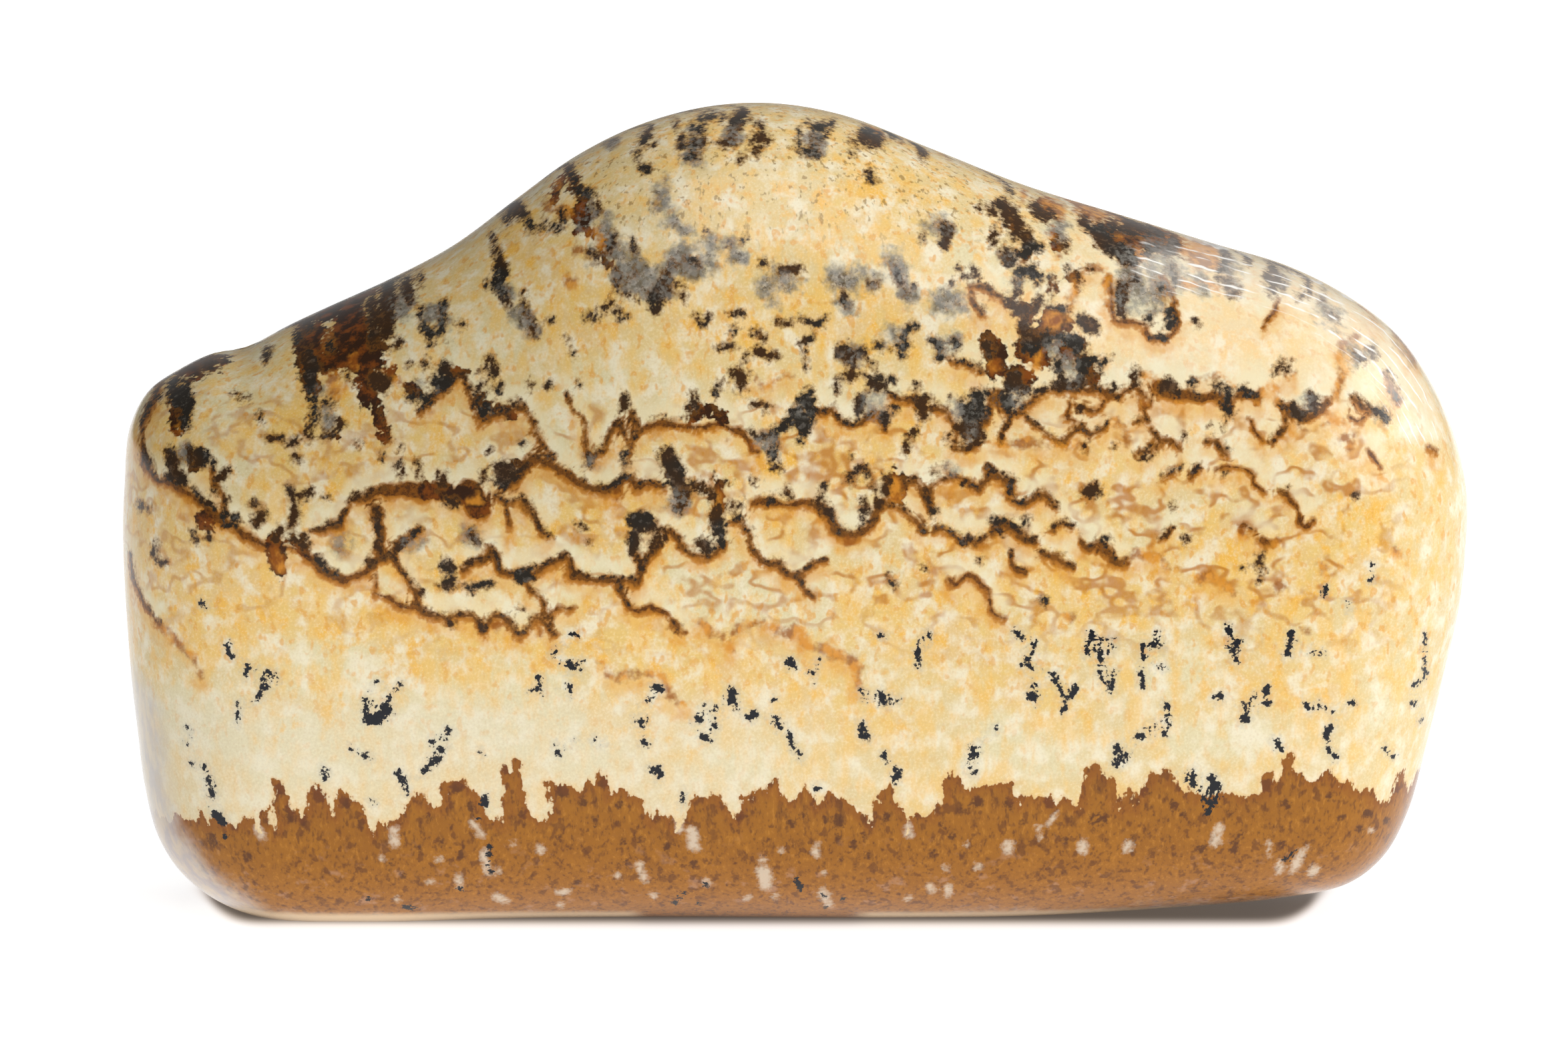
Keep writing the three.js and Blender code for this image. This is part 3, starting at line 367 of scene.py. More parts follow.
# Blue-black dendrites of the cream zone and the band
SPECKS = [
    [.1, -25.8, 13.7, -25.6, 13.2], [.13, -25.1, 12.3, -24.9, 12.65], [.11, -24.1, 12.4, -24, 12.2],
    [.07, -23.6, 12.1], [.11, -24.3, 11.9, -24.5, 11.2], [.07, -24.2, 11.6],
    [.06, -25.4, 11, -25.3, 10.6, -25.35, 10.1], [.06, -27.6, 9.6], [.06, -27.8, 8.9], [.07, -27.6, 8],
    [.07, -27.1, 7.9], [.12, -26.9, 7.4, -26.7, 7, -26.5, 6.6], [.2, -26.3, 5.7, -26, 5.3], [.14, -26, 4.5],
    [.13, -27, 15.4], [.09, -19.4, 11.3, -19.35, 10.7], [.25, -19.2, 10.35, -18.95, 10.3],
    [.13, -18.95, 10.3, -18.6, 10.6], [.22, -18.5, 10.85, -18.4, 10.65], [.07, -18.35, 11.4, -18.4, 11.1],
    [.11, -18.3, 10.5], [.15, -19.4, 8.5], [.07, -20.1, 8.8], [.05, -19, 12], [.06, -18, 11.8],
    [.11, -21.4, 7.8, -21.4, 7.6], [.13, -17.9, 7.8, -17.7, 7.5], [.11, -17.65, 6.95], [.12, -16.7, 7.9],
    [.12, -16.6, 8, -16.4, 8.3, -16.2, 8.6], [.14, -16, 9], [.07, -15.9, 9.6, -15.7, 9.8],
    [.07, -16.4, 9.4], [.07, -19.3, 6.5], [.18, -14.05, 6.6, -14, 6.3], [.07, -14.2, 5.6],
    [.11, -13.9, 4.2, -13.95, 3.8], [.14, -13.95, 3.1], [.06, -14.3, 8.8], [.05, -10.85, 9.1, -10.7, 8.7],
    [.05, -10, 9.4], [.05, -9, 9.5], [.05, -8.6, 9.2], [.1, -11.6, 12.2, -11.5, 11.5],
    [.09, -10.3, 11.9, -10.2, 11.5], [.05, -12, 11.5], [.23, -6.3, 11.7], [.07, -6.6, 11.2],
    [.11, -7.3, 10.3, -6.9, 10.1], [.06, -6.6, 10.35], [.15, -6.85, 9.3], [.12, -6.4, 8, -6.25, 7.7],
    [.06, -6.6, 8.1], [.15, -4.4, 10.45], [.06, -4, 11], [.09, -3.5, 10.85], [.1, -3.5, 10.2, -3.5, 10],
    [.15, -4, 9.5, -3.85, 9.3], [.16, -2.85, 11.6, -2.75, 11.2], [.06, -2.5, 10.9], [.22, -1.85, 10.5],
    [.06, -.8, 10.3], [.11, -.65, 9.9], [.11, -.2, 9.5, -.1, 9], [.1, .2, 8.6], [.22, -.15, 12.9],
    [.13, .9, 12.5], [.07, 1.1, 13.1], [.06, .95, 12], [.05, -.9, 11.2], [.09, -10.1, 14.35, -9.9, 14.3],
    [.09, -10.9, 13.4], [.07, -10.7, 13.6], [.21, -10.2, 12.9], [.05, -9.7, 13.1], [.06, -9.7, 12.7],
    [.11, -5, 6.75, -5, 6.45], [.11, 3.2, 11.3], [.05, 3.1, 11.6], [.18, 4, 11.4, 4.1, 11.1],
    [.06, 4.7, 11.3], [.18, 3.15, 10, 3.25, 9.5], [.13, 4.15, 8.65], [.16, 4.6, 8, 4.65, 7.6],
    [.11, 1.05, 7.15, 1.2, 7.2], [.13, 5.55, 13.5, 5.65, 12.9], [.07, 5.65, 13.9],
    [.07, 6.1, 14.4, 6.15, 14], [.11, 3.95, 14.2], [.12, 8.1, 8.95, 8.15, 8.75], [.05, 8.4, 9.2],
    [.09, 7.95, 8.3, 8, 8], [.11, 8.2, 7.8], [.06, 9.1, 9.9], [.09, 10.1, 14.35, 10.3, 14.1],
    [.05, 10.95, 14], [.13, 10.8, 13.6, 10.6, 13.2], [.11, 10.5, 12.85, 10.8, 12.65], [.18, 10.9, 11.3],
    [.06, 11, 11.9], [.1, 11.8, 12.4],
    [.08, 11.8, 12.3, 12, 11.9, 12.15, 11.5, 12.3, 11.25, 12.3, 11, 12.2, 10.75],
    [.09, 12.3, 11.3, 12.6, 11.5, 12.8, 11.8], [.14, 12.8, 11.9], [.18, 13.45, 14.2], [.15, 13.2, 13.6],
    [.1, 13.9, 14], [.14, 13.85, 13.5, 13.9, 13.1], [.1, 13.9, 12.5, 14, 12.2],
    [.07, 14.4, 13.9, 14.45, 13.5], [.07, 14.5, 12.5], [.15, 14.4, 12, 14.4, 11.7],
    [.1, 15.9, 13.7, 15.95, 13.1], [.08, 15.8, 12.4, 15.85, 11.8], [.13, 16.4, 13.8, 16.7, 13.85],
    [.11, 16.7, 12.75], [.05, 16.6, 14.3], [.14, 16.9, 10.8], [.09, 17, 10.25, 17.05, 10], [.07, 16.4, 10],
    [.07, 16.8, 9.5], [.15, 15.6, 9.5, 15.85, 9.5], [.15, 14.65, 8.9], [.1, 14.9, 8.6, 15.1, 8.4],
    [.11, 14.5, 8.3, 14.6, 8.1], [.12, 19.7, 14.55, 19.85, 14.3], [.06, 19.85, 14.3, 20, 13.9],
    [.12, 20.25, 13.9], [.11, 19.95, 13.6, 20.1, 13.3], [.08, 20.15, 12.95], [.08, 19.2, 11.3],
    [.1, 19.5, 11.35], [.18, 20.5, 10.8, 20.55, 10.3], [.12, 21, 11.2], [.11, 21.55, 11.7, 21.5, 11.3],
    [.1, 21.6, 11], [.13, 22.65, 14.3, 22.75, 13.85], [.07, 22.7, 13.8, 22.6, 13.4], [.13, 22.5, 13.25],
    [.11, 24, 13.3], [.06, 23.6, 13.4], [.1, 23.4, 10.95, 23.45, 10.8], [.06, 23.9, 10.9],
    [.14, 25.5, 10.9], [.06, 24.6, 10.6], [.17, 24.4, 9.8, 24.3, 9.4], [.08, 24.35, 8.8, 24.6, 8.5],
    [.1, 24.75, 8.35], [.08, 22, 9.3, 22.1, 9, 22.25, 8.8], [.06, 27.1, 8.5], [.1, 27.5, 8.15],
    [.12, 28.5, 10.45], [.08, 28.8, 9.6], [.08, 28.9, 12.6, 29, 12, 28.9, 11.75], [.11, 28.45, 11.5],
    [.06, 28.9, 13.7, 28.9, 13.2], [.18, 18, 7.7, 18.2, 7.3], [.07, 18.3, 8.1], [.2, 19.1, 7.6, 19.25, 7.2],
    [.12, 18.8, 6.7, 18.9, 6.3], [.1, 18.9, 6.25, 19.2, 6.35], [.11, 18.9, 5.8], [.1, 24.1, 16.3, 24.1, 16],
    [.05, 25.1, 15.6], [.05, 25.3, 15.1], [.08, 26.1, 16.5], [.06, 26.2, 17.3],
    # in the band
    [.1, .0, 2.6, .3, 2.2], [.1, -4, 2.3], [.11, -5.5, 1.4], [.1, -4.9, 1.9], [.08, -4.3, 1.2],
    [.11, -17.8, 1.1, -17.5, .9], [.1, -15.4, 2], [.1, -19.5, 1.6], [.08, 1.45, 1.8], [.08, 1.5, 1],
    [.08, 2.25, 1.5], [.07, 23.1, 3.9], [.12, 22.6, 3.4], [.06, -1.5, 3.8],
]

# Pale droplets in the band
DROPS = [
    [.16, -18.2, 5, -18.15, 4.4], [.1, -18.8, 3.7], [.1, -16.3, 3.7], [.12, -14.6, 5.4, -14.3, 4.8],
    [.15, -14.2, 4, -14.1, 3], [.12, -13.6, 3.1], [.08, -15.4, 2.8, -15.4, 2.1], [.08, -12.95, 4.45],
    [.1, -11.7, 4.2, -11.7, 4], [.13, -13.7, 1.7, -13.3, 1.4], [.12, -18.1, 1.6], [.1, -16.7, 2.5],
    [.14, -10.7, 1.9, -10.3, 1.9], [.1, -10.6, 1.1], [.12, -8.2, 2.7], [.13, -7.1, 3.3, -6.9, 2.6],
    [.12, -6.4, 1.8], [.22, -4.6, 5.1, -4.5, 4.3], [.12, -5.2, 6, -5.1, 5.2], [.1, -24.5, 5.2, -24.4, 4.7],
    [.12, -4, 2.4], [.25, -1.4, 3, -1.3, 2.2], [.13, -1.5, 3.6], [.2, 1, 4], [.08, 1.1, 4.5],
    [.1, 1.3, 2.8], [.17, 1.4, 1.9, 1.6, 1.2], [.1, -.65, 4.1], [.12, -2.2, 1.5], [.12, -.8, 1.6],
    [.14, 6.2, 2.4, 6.3, 2.1], [.16, 7.1, 2.3, 7.1, 1.9], [.1, 5.25, 1.6], [.1, 7, 3.3], [.1, 8.4, 3.3],
    [.07, 7.8, 4.3], [.12, 5.3, 5.4, 5.3, 4.9], [.13, 9.8, 4.4, 9.8, 4], [.17, 13.3, 4.4, 13.35, 4.1],
    [.14, 15.2, 4.3, 15.2, 4], [.17, 19.55, 5, 19.4, 4.4], [.06, 11.1, 5.2, 11.2, 4.6],
    [.06, 11.9, 5.9, 11.6, 5.3], [.06, 21.8, 4.5, 21.8, 3.7], [.15, 23.3, 3.8, 23, 2.9],
    [.13, 22.3, 3.2, 22.3, 2.8], [.2, 23.9, 2.8, 23.85, 2.6], [.1, 23.7, 4.1], [.1, 26.4, 4.6],
]

# Brown masses, mottled dark and orange
MASSES = [
    [.45, 9, 27.4, 9.3, 26.2], [.8, 10.7, 27.5], [.8, 11.8, 28.3], [.6, 12.7, 27.3], [.6, 10.2, 26],
    [.5, 11.3, 26.9], [.4, 13.2, 26.6, 13.4, 25.9], [.5, 10.6, 28.9], [.45, -5.5, 21.8],
    [.3, -3.4, 21, -3.4, 20.2], [.5, 4.5, 21.3, 4.6, 20.6], [.35, -12.6, 21.9],
    [.45, 14.2, 32.1, 15.4, 31.9, 17.6, 31.6], [.4, 11.4, 33.1], [.35, 10, 32.8],
    [.25, 12.6, 30.4, 12.8, 30], [.2, 11.65, 30.2, 11.7, 29.7], [.25, 10.4, 31.3], [.35, 5.8, 24.5],
    [.25, 13.4, 32.7], [.4, -17.3, 25.3], [.35, -16.7, 20.9, -14.6, 20.5], [.4, -14.3, 20.4, -14.3, 19.9],
    [.3, 11.9, 31.7], [.2, -26.3, 26.1, -27, 25.95, -27.8, 25.6, -28.4, 25.2],
    [.42, -28.4, 24.7, -28.15, 24.2, -28.2, 23.6], [.3, -26.9, 19.6, -26.7, 19.1],
    [.42, -23.6, 18.4, -23.5, 17.8], [.22, -23.5, 17.4, -23.4, 16.8], [.25, -22.8, 18.3, -22.4, 17.9],
    [.15, -27.5, 22.1, -27.4, 21.7], [.75, -22.3, 27.2, -22.1, 26.5], [.4, -22.2, 25.9, -22, 25.3],
    [.85, -20.4, 28, -19.9, 27.2], [.55, -20.9, 27.2, -20.6, 26.8], [.42, -19.4, 26.3, -19.5, 25.5],
    [.3, -18.6, 26.1, -18.3, 25.9], [.35, -19.6, 24.9, -19.4, 24.5],
    [.35, -22.5, 28, -20.8, 28.7, -19, 29.5], [.2, -21.4, 23.1, -20.7, 23.1], [.3, -21.5, 26.2, -21, 26.4],
    [.25, -15.7, 26.1, -15.1, 26], [.3, -14.2, 25, -14, 24.5], [.3, -13.2, 24.4, -12.8, 24.3],
    [.25, -10.3, 34.7, -9.9, 34.2], [.3, -9.6, 33.6, -9.5, 32.9], [.25, -9.2, 32.4, -8.8, 31.9],
    [.5, -20.4, 26.9, -19.7, 26.4], [.4, -19, 27.3, -18.9, 26.6], [.2, -21.9, 28.4, -20.5, 29],
    [.5, -21.5, 28.3, -20.6, 28.6], [.45, -20.6, 26.9, -19.7, 26.1], [.3, -20.9, 26.2],
    [.2, -10.6, 34.2, -11, 33.6], [.25, -9.9, 33.3, -9.6, 32.6], [.2, -8.8, 31.4, -8.4, 31],
    [.3, -19.8, 25.6, -19.6, 25], [.22, -19.45, 24.6, -19.15, 24.1], [.12, -19, 23.7, -18.75, 23.1],
    [.2, -4.8, 24.25, -4.3, 24.35, -3.7, 24.25, -3.3, 24.1], [.16, -4.55, 24.6, -4.4, 24.8],
    [.45, -21.9, 26.6, -20.6, 26.4, -19.3, 26.2], [.3, -19.6, 25.8, -19.1, 24.6, -18.7, 23.2],
    [.28, -4.8, 24.2, -4.3, 24.4, -3.7, 24.3, -3.3, 24.15],
]

# Dark brown flecks in the band
MOTES = [
    [.1, -16.2, 4.65, -16.2, 4.35], [.1, -17.1, 4.2, -17.1, 4], [.1, -18.5, 3.4, -18.5, 3.2],
    [.1, -17.9, 2.85, -17.9, 2.75], [.1, -15.3, 3.9, -15.3, 3.7], [.1, -10.7, 4.85, -10.7, 4.65],
    [.1, -7.8, 4.8, -7.8, 4.6], [.1, -7, 4.75, -7, 4.65], [.1, -5.8, 4.5, -5.8, 4.3],
    [.1, -7.8, 3.45, -7.8, 3.35], [.1, -7.6, 3.1], [.125, -9.95, 2.525, -9.95, 2.475],
    [.1, -4.6, 3.4, -4.6, 3.2], [.1, -9, 5.75, -9, 5.45], [.15, -7.9, 6.4, -7.9, 6.2],
    [.3, -8.65, 7.55, -8.65, 7.45], [.125, -12.4, 5.875, -12.4, 5.725], [.125, -14.7, 6.275, -14.7, 6.125],
    [.125, -16.7, 5.875, -16.7, 5.725], [.2, -.25, 5.5], [.125, .4, 6.025, .4, 5.975],
    [.125, 2.1, 5.775, 2.1, 5.425], [.1, 1.5, 5.75, 1.5, 5.65], [.15, 4.2, 5.9, 4.2, 5.7],
    [.1, 2, 4.8, 2, 4.6], [.125, 2.7, 4.625, 2.7, 4.375], [.1, 3.2, 4.9, 3.2, 4.7],
    [.1, 2.2, 3.75, 2.2, 3.65], [.1, 3.4, 4, 3.4, 3.8], [.1, 7.2, 4.9, 7.2, 4.7],
    [.1, 6.8, 5.35, 6.8, 5.25], [.125, 7.7, 5.975, 7.7, 5.825], [.1, 6.4, 4.05, 6.4, 3.95],
    [.2, 8.4, 6.55, 8.4, 6.45], [.2, 9.8, 6.55, 9.8, 6.45], [.1, 10.4, 5.6, 10.4, 5.4],
    [.1, 12.4, 4.6, 12.4, 4.4], [.125, 13.6, 5.825, 13.6, 5.375], [.125, 14.1, 5.775, 14.1, 5.625],
    [.1, 15.4, 4.6, 15.4, 4.4], [.1, 17.4, 6.35, 17.4, 6.05], [.1, 17.85, 6, 17.85, 5.8],
    [.1, 19.85, 5.9, 19.85, 5.7], [.1, 20.5, 4.9, 20.5, 4.7], [.15, 25.1, 5.45, 25.1, 5.35],
    [.175, 26.3, 5.525, 26.3, 5.475], [.175, 25.9, 4.7], [.125, 22.5, 6.275, 22.5, 6.125],
    [.125, 24.5, 6.575, 24.5, 6.425], [.2, 18.8, 4.1], [.125, 20.2, 4.325, 20.2, 3.875], [.2, 22.5, 4.3],
    [.125, 27.2, 5.075, 27.2, 4.925], [.25, -23.3, 7.1, -23.3, 6.9], [.225, -21.7, 6.925, -21.7, 6.675],
    [.2, -20.5, 6.45, -20.5, 6.35], [.35, -15.4, 7.2], [.2, -18.4, 5.6], [.25, -13.1, 8.25, -13.1, 8.15],
    [.3, -10.6, 7], [.2, -26.6, 6.35, -26.6, 6.25], [.15, -26.6, 4.45, -26.6, 4.15],
    [.15, -25.5, 5.35, -25.5, 5.05], [.15, -25, 3.7, -25, 3.5], [.15, -23, 6.1, -23, 5.7],
    [.15, -22.4, 5.6, -22.4, 5.4], [.15, -24.3, 6.05, -24.3, 5.95], [.15, -19.8, 5.5, -19.8, 5.3],
    [.2, -13.4, 6.45, -13.4, 6.35], [.15, -11.2, 6.05, -11.2, 5.95], [.15, -9.6, 6.55, -9.6, 6.45],
    [.15, -6.2, 5.75, -6.2, 5.65], [.2, -2.4, 5.8], [.15, 5.8, 6.05, 5.8, 5.95],
    [.2, 11.6, 6.55, 11.6, 6.45], [.25, 16, 7.05, 16, 6.95], [.25, 21.6, 7.25, 21.6, 7.15],
    [.2, 27.6, 6.7, 27.6, 6.5],
]

# Where fine polishing scratches catch the light: painted highlights in them and a painted sheen over them
SCRATCH_SHEEN = [
    [.9, 16.5, 30.7, 20.5, 30.2], [.8, 21.5, 29.9, 24, 29], [1, 24.6, 28.4, 26.4, 27.3],
    [.9, 26.8, 26.8, 28, 25, 28.6, 23.4],
]

# Painted reflection of the white floor: whitish over the band's ends and along the lowest edge
GLARES = [
    [2.3, -31.4, 9.5, -31.1, 6.5, -30.4, 3.8, -28.6, 1.4, -26.4, -.6], [.25, -26, .1, -18, -.1, -8, 0],
    [.25, 3, .1, 14, .2, 24, .9],
]

# Peach and tan ground
PEACHES = [
    [2.2, -30, 22, -29, 18, -27.5, 15], [1.4, -26, 16.5, -21, 15.2, -17.5, 14.8],
    [1, -17, 14.2, -10.5, 13.9], [1.6, -14.5, 19.2, -9.5, 19], [1.2, -17.8, 17.8, -16, 16.3],
    [1.4, -8.5, 14, -4.5, 12.7], [1.3, -7.5, 19.6], [1.2, -2, 12.4, 1.5, 11, 4.5, 9.8],
    [1.5, 3, 15.2, 8.5, 14], [1.6, 7, 18.6, 12.5, 17], [1.6, 14.5, 16.2, 19.5, 17.6],
    [2, 21.5, 17, 25.5, 18.5], [1.6, 13, 22, 20, 23, 26, 22.6], [1.5, -23, 22.8, -20, 21.8],
    [1.5, 1, 21.8, 5, 22.8], [1.4, -4, 28.6, .5, 29, 4.5, 28.4], [1.6, -12, 31.5, -9.5, 29],
    [1.2, -16.5, 23, -15.5, 22.6], [1.2, 20, 27.6, 24.5, 26.8], [1, -2.2, 21.7], [1.2, 9, 12.5, 12.5, 10.8],
    [1, 20, 12, 24.5, 11.3], [.8, -21, 11, -23.5, 10.2], [1, 2.2, 33.5, 5.4, 33.2],
    [.8, -7.4, 10.9, -5, 9.2], [1.2, -1.5, 19.3], [1.2, -18, 13], [.8, -21, 25.6, -20.6, 24.6, -20, 23.4],
    [.6, -17.9, 25.4, -17.8, 24.6],
]

# Whitish pools beside the veins
PALES = [
    [.9, -12.6, 22.7, -10.9, 23.6], [.5, -9.6, 17.2, -7.9, 17.2], [.8, -4.6, 20.2, -4.4, 19],
    [.5, 2.2, 19.5, 1.9, 20.2], [.4, .3, 20.9], [.3, 5.6, 21.5], [.25, 6.1, 21.4, 6.1, 20.9],
    [.6, 8.2, 21.9], [.5, 10.3, 21], [.3, 13.5, 18.7], [.6, -5.5, 25.4, -5, 24.9], [.5, 14.3, 25.9],
    [.5, 20.8, 25.8], [.3, 20.2, 24.9], [.4, -10.2, 18], [.5, -18.5, 18.3], [.4, -20.5, 17.4],
    [1.3, -4.8, 16.4, -1.8, 16.2, .3, 15.4], [.6, -15.6, 21.9], [.35, 15.6, 29], [.35, 16.5, 28.2],
    [.35, 14.6, 31], [.4, 17.4, 31], [.3, -13.2, 29.6], [.4, 8.6, 25.5], [.35, 9.9, 27.2], [.4, 4.5, 25.4],
    [.4, 15.6, 18.1], [1.2, -26, 24.4, -25.4, 22.4], [.5, 11.6, 32.4], [.4, 12, 30.7], [.4, 11.2, 29.8],
    [.5, -29.4, 15.2], [.4, 23.6, 25.4], [.4, 18.6, 25.9], [.9, -17.3, 28.3, -15.3, 26.9, -13.2, 27.4],
    [.8, -9.6, 25.6, -7.6, 26.3], [1.6, -27.6, 10.4, -24, 9, -20, 9],
    [1.4, -16.5, 10.6, -12, 10, -9.6, 8.9], [1.2, -22.5, 12.4, -20, 12.6], [1.2, 9, 9.2, 12, 9],
    [.9, 17.5, 9.4, 21, 9.2], [.8, -4.2, 8, -1, 8.2], [.8, 16.6, 12.2, 18.4, 13], [1, -13, 12.3, -11.4, 12],
    [.7, 26.5, 10, 27.5, 12], [.7, -24.2, 26.1], [.6, 7.6, 31.4, 8.8, 30.6],
]

# Soft blue-grey patches of the stone, and over the hump and the right shoulder a painted reflection that
# veils dark marks grey
GREYS_AND_VEILS = [
    [.4, -9.2, 22.1], [.4, -1.2, 23], [.35, .35, 24.4], [.45, 3.6, 24.9, 3.6, 24.5], [.3, 8, 23.4],
    [.3, 7.4, 24.6], [.3, 10.1, 25], [.4, 12.5, 26.6, 12.5, 26], [.25, 11.6, 27.3], [.25, 12.2, 27.4],
    [.6, 15.2, 30.2, 15.6, 29.4], [.6, 16.6, 30.6, 16.8, 29.6], [.4, 4.6, 27.9], [.5, 7, 27.5],
    [.25, 20, 30.6, 20.1, 29.8], [.25, 22.3, 29.8], [.5, -18, 28.8], [.4, -4.6, 35.6], [.4, -2.7, 36.5],
    [.4, -5.3, 20.2], [.3, 9.9, 25.1], [.4, -17.2, 18.4], [.3, -14.6, 18.7], [.5, -16.3, 28.6],
    [.4, -12.3, 28.6], [.35, 1, 36.2], [.35, -4.5, 36.3], [.3, 9.7, 31.3], [.3, 10.1, 30], [.4, 2.8, 27],
    [.4, -20.6, 18.3], [.35, 23.4, 24.8], [.15, 7.2, 21.8], [.25, 8.4, 24.6], [.35, 14.7, 29.5],
    [.3, 15.4, 30.1], [.25, -12.9, 29.5], [.3, -11.8, 28], [.4, 15.2, 31.2], [.4, 17, 30.9],
    [.35, 12, 32.2], [.8, -7.4, 30.8, -6.7, 30.3], [.4, -6, 29.8, -5.8, 30.3],
    [.45, -5.4, 31.1, -4.6, 30.9], [.3, -8.4, 32.2, -8.5, 31.4], [.3, -9.1, 31.4],
    [.35, -9.2, 33.2, -9.3, 32.8], [.4, -3, 31.9, -2.7, 31.5], [.35, -1.2, 30.1, -1.1, 29.5],
    [.3, -.3, 30.2, .1, 30.1], [.4, 1.8, 30.5, 2.7, 30.4], [.3, 2.3, 29.5, 2.5, 29.2], [.28, 3.7, 30.3],
    [.35, 4.5, 31.2, 4.8, 30.6, 5.1, 30, 5.3, 29.7], [.26, 6.1, 32.6, 6.8, 32.6],
    [.4, 6.7, 29.4, 7.5, 29.2], [.3, -4.2, 31.3, -3.8, 31], [.25, -21.4, 24.3, -21.25, 23.85],
    [.13, -21.8, 25.1], [.13, -19.8, 28.5], [.18, -17, 25.5], [.3, -27.9, 22.2], [.2, -6.2, 33.6],
    [.25, -5.9, 34.3, -5.6, 33], [.3, -4.9, 32.4], [.2, -.9, 30.9], [.25, 3.2, 30.9], [.2, -8.3, 36.2],
    [.3, 17.3, 30.4, 17.5, 29.9], [.3, 18.6, 29.9], [.2, 24.2, 29, 24.3, 28.6],
    [.2, 24.5, 28.3, 24.9, 28.1], [.2, 25.3, 26.9, 25.7, 26.5], [.2, 26.4, 26.8], [.25, 26.7, 24.1],
    [.15, 27.5, 24.6], [.2, 28, 26.9, 28.4, 26.3], [.35, -8.6, 32.8, -8.2, 31.8, -7.4, 31, -6.5, 30.3],
    [.3, -5.6, 31, -4.8, 31.8, -3.8, 31.9], [.25, -3, 31.7, -2.2, 31.4],
]

# Orange-brown patches
ORANGES = [
    [.3, -23.6, 17.9, -23.4, 17.2], [.4, -10.4, 33.2], [.3, -8.75, 31.95], [.3, -10.3, 30.4],
    [.35, 11.6, 33.3, 12.2, 33], [.3, 13.2, 33], [.25, 10.6, 33.7], [.35, 3.9, 36.6], [.3, 15, 31.8],
    [.35, 15.7, 31.2], [.4, 17.3, 31.8], [.5, 18.5, 31, 19.2, 30.8], [.5, 11.7, 28.4], [.4, 11, 27.1],
    [.3, 10.9, 26.6], [.35, 9.2, 26.4], [.3, -14.4, 20.4], [.3, -5.3, 21.6], [.3, -3.4, 20.7, -3.4, 20.2],
    [.4, 4.5, 21.2, 4.6, 20.5], [.2, 15.8, 24.7], [.3, -1.8, 22.9], [.25, 17.4, 25], [.2, 10, 32.7],
    [.15, 12.6, 30.3], [.2, 11.7, 32.1], [.2, 12, 31.3], [.2, 10.3, 31], [.3, 2.4, 18.6], [.25, 7.3, 35.4],
    [.3, 21.9, 18.4], [.3, 20.4, 18.8], [.25, 24, 17.2], [.3, 22.2, 16.5], [.3, 27.4, 17.8],
    [.25, 21, 15.6], [.2, 23.3, 14.4], [.3, 12.5, 15.1], [.3, -.2, 14.2], [.25, -3.7, 14.2],
    [.25, 25, 23.1], [.25, -13.4, 14.6], [.25, -11.5, 14.4], [.3, -9, 32.4], [.3, -8.6, 31.9],
    [.25, -9.8, 31.7], [.3, -10.1, 30.3], [.35, -11.2, 33.4], [.2, -10.7, 34.2], [.32, -21.1, 25.4],
    [.3, -18, 25.6], [.25, -28, 23.5], [.25, -15.3, 25.4], [.2, -20.6, 25.2], [.18, 17.7, 30, 18.3, 29.9],
    [.2, 19.1, 29.9, 19.5, 29.6], [.15, 20.2, 29.5], [.2, -21.5, 27.3, -21.45, 26.9],
    [.26, -20.1, 26.6, -20.1, 26.2], [.12, -3, 23.6, -3, 23.2], [.3, -21, 25.7, -20.9, 25.1],
    [.35, -21.5, 27.1], [.3, -20.1, 26.4], [.4, 13.4, 33.1, 14.4, 32.8], [.35, 15.2, 32.5, 16, 32.2],
    [.3, 17.4, 31.6, 18.4, 31.2],
]

# How the drawing lies on the stone, and how strokes are made less even. A wobble is [height, size, seed].
DRIFT_START = -1.5  # Y behind which the markings drift along X, as veins running through the stone do
DRIFT = 0.9  # how far they drift for each millimetre of depth, once the drift has set in
DRIFT_ONSET = 1.5  # the depth at which the drift is half as strong
RISE_ALONG = (0.05, 0.23, 1.0)  # how much they rise with depth, how fast that changes along X, and its start
FALL_UP = (0.04, 0.31)  # how much they fall with depth, and how fast that changes along Z
FOLD = 31  # X beyond which the drawing comes back mirrored
FAR = 2.0  # how far from a stroke its distance is known
WANDER_X = [[0.13, 1.5, 1], [0.09, 0.6, 2]]
WANDER_Z = [[0.13, 1.5, 3], [0.09, 0.6, 4]]
SWELL = [[0.45, 1.2, 5], [0.35, 0.5, 6]]
CORE_SWELL = [[1.5, 0.8, 7]]
LATTICE = 256  # points along each side of a wobble's lattice, after which it repeats

# Veins, by how much of them is black: the ochre ones have the least, and the blackest have a dark core
BROWN_FROM, CORE_FROM = 0.3, 0.5
BROWN_WIDTH, CORE_WIDTH = 0.75, 0.35  # as shares of the drawn width, for a core times how much is black
OCHRE_WIDENING = 0.06
CORE_RISE = (0.05, 0.4)  # how far a core lies above its vein: at least, and per half width
UNDER_SHIFT, ABOVE_SHIFT, HEM_SHIFT = 0.45, -0.7, 0.14  # how far below the veins the colour beside them lies

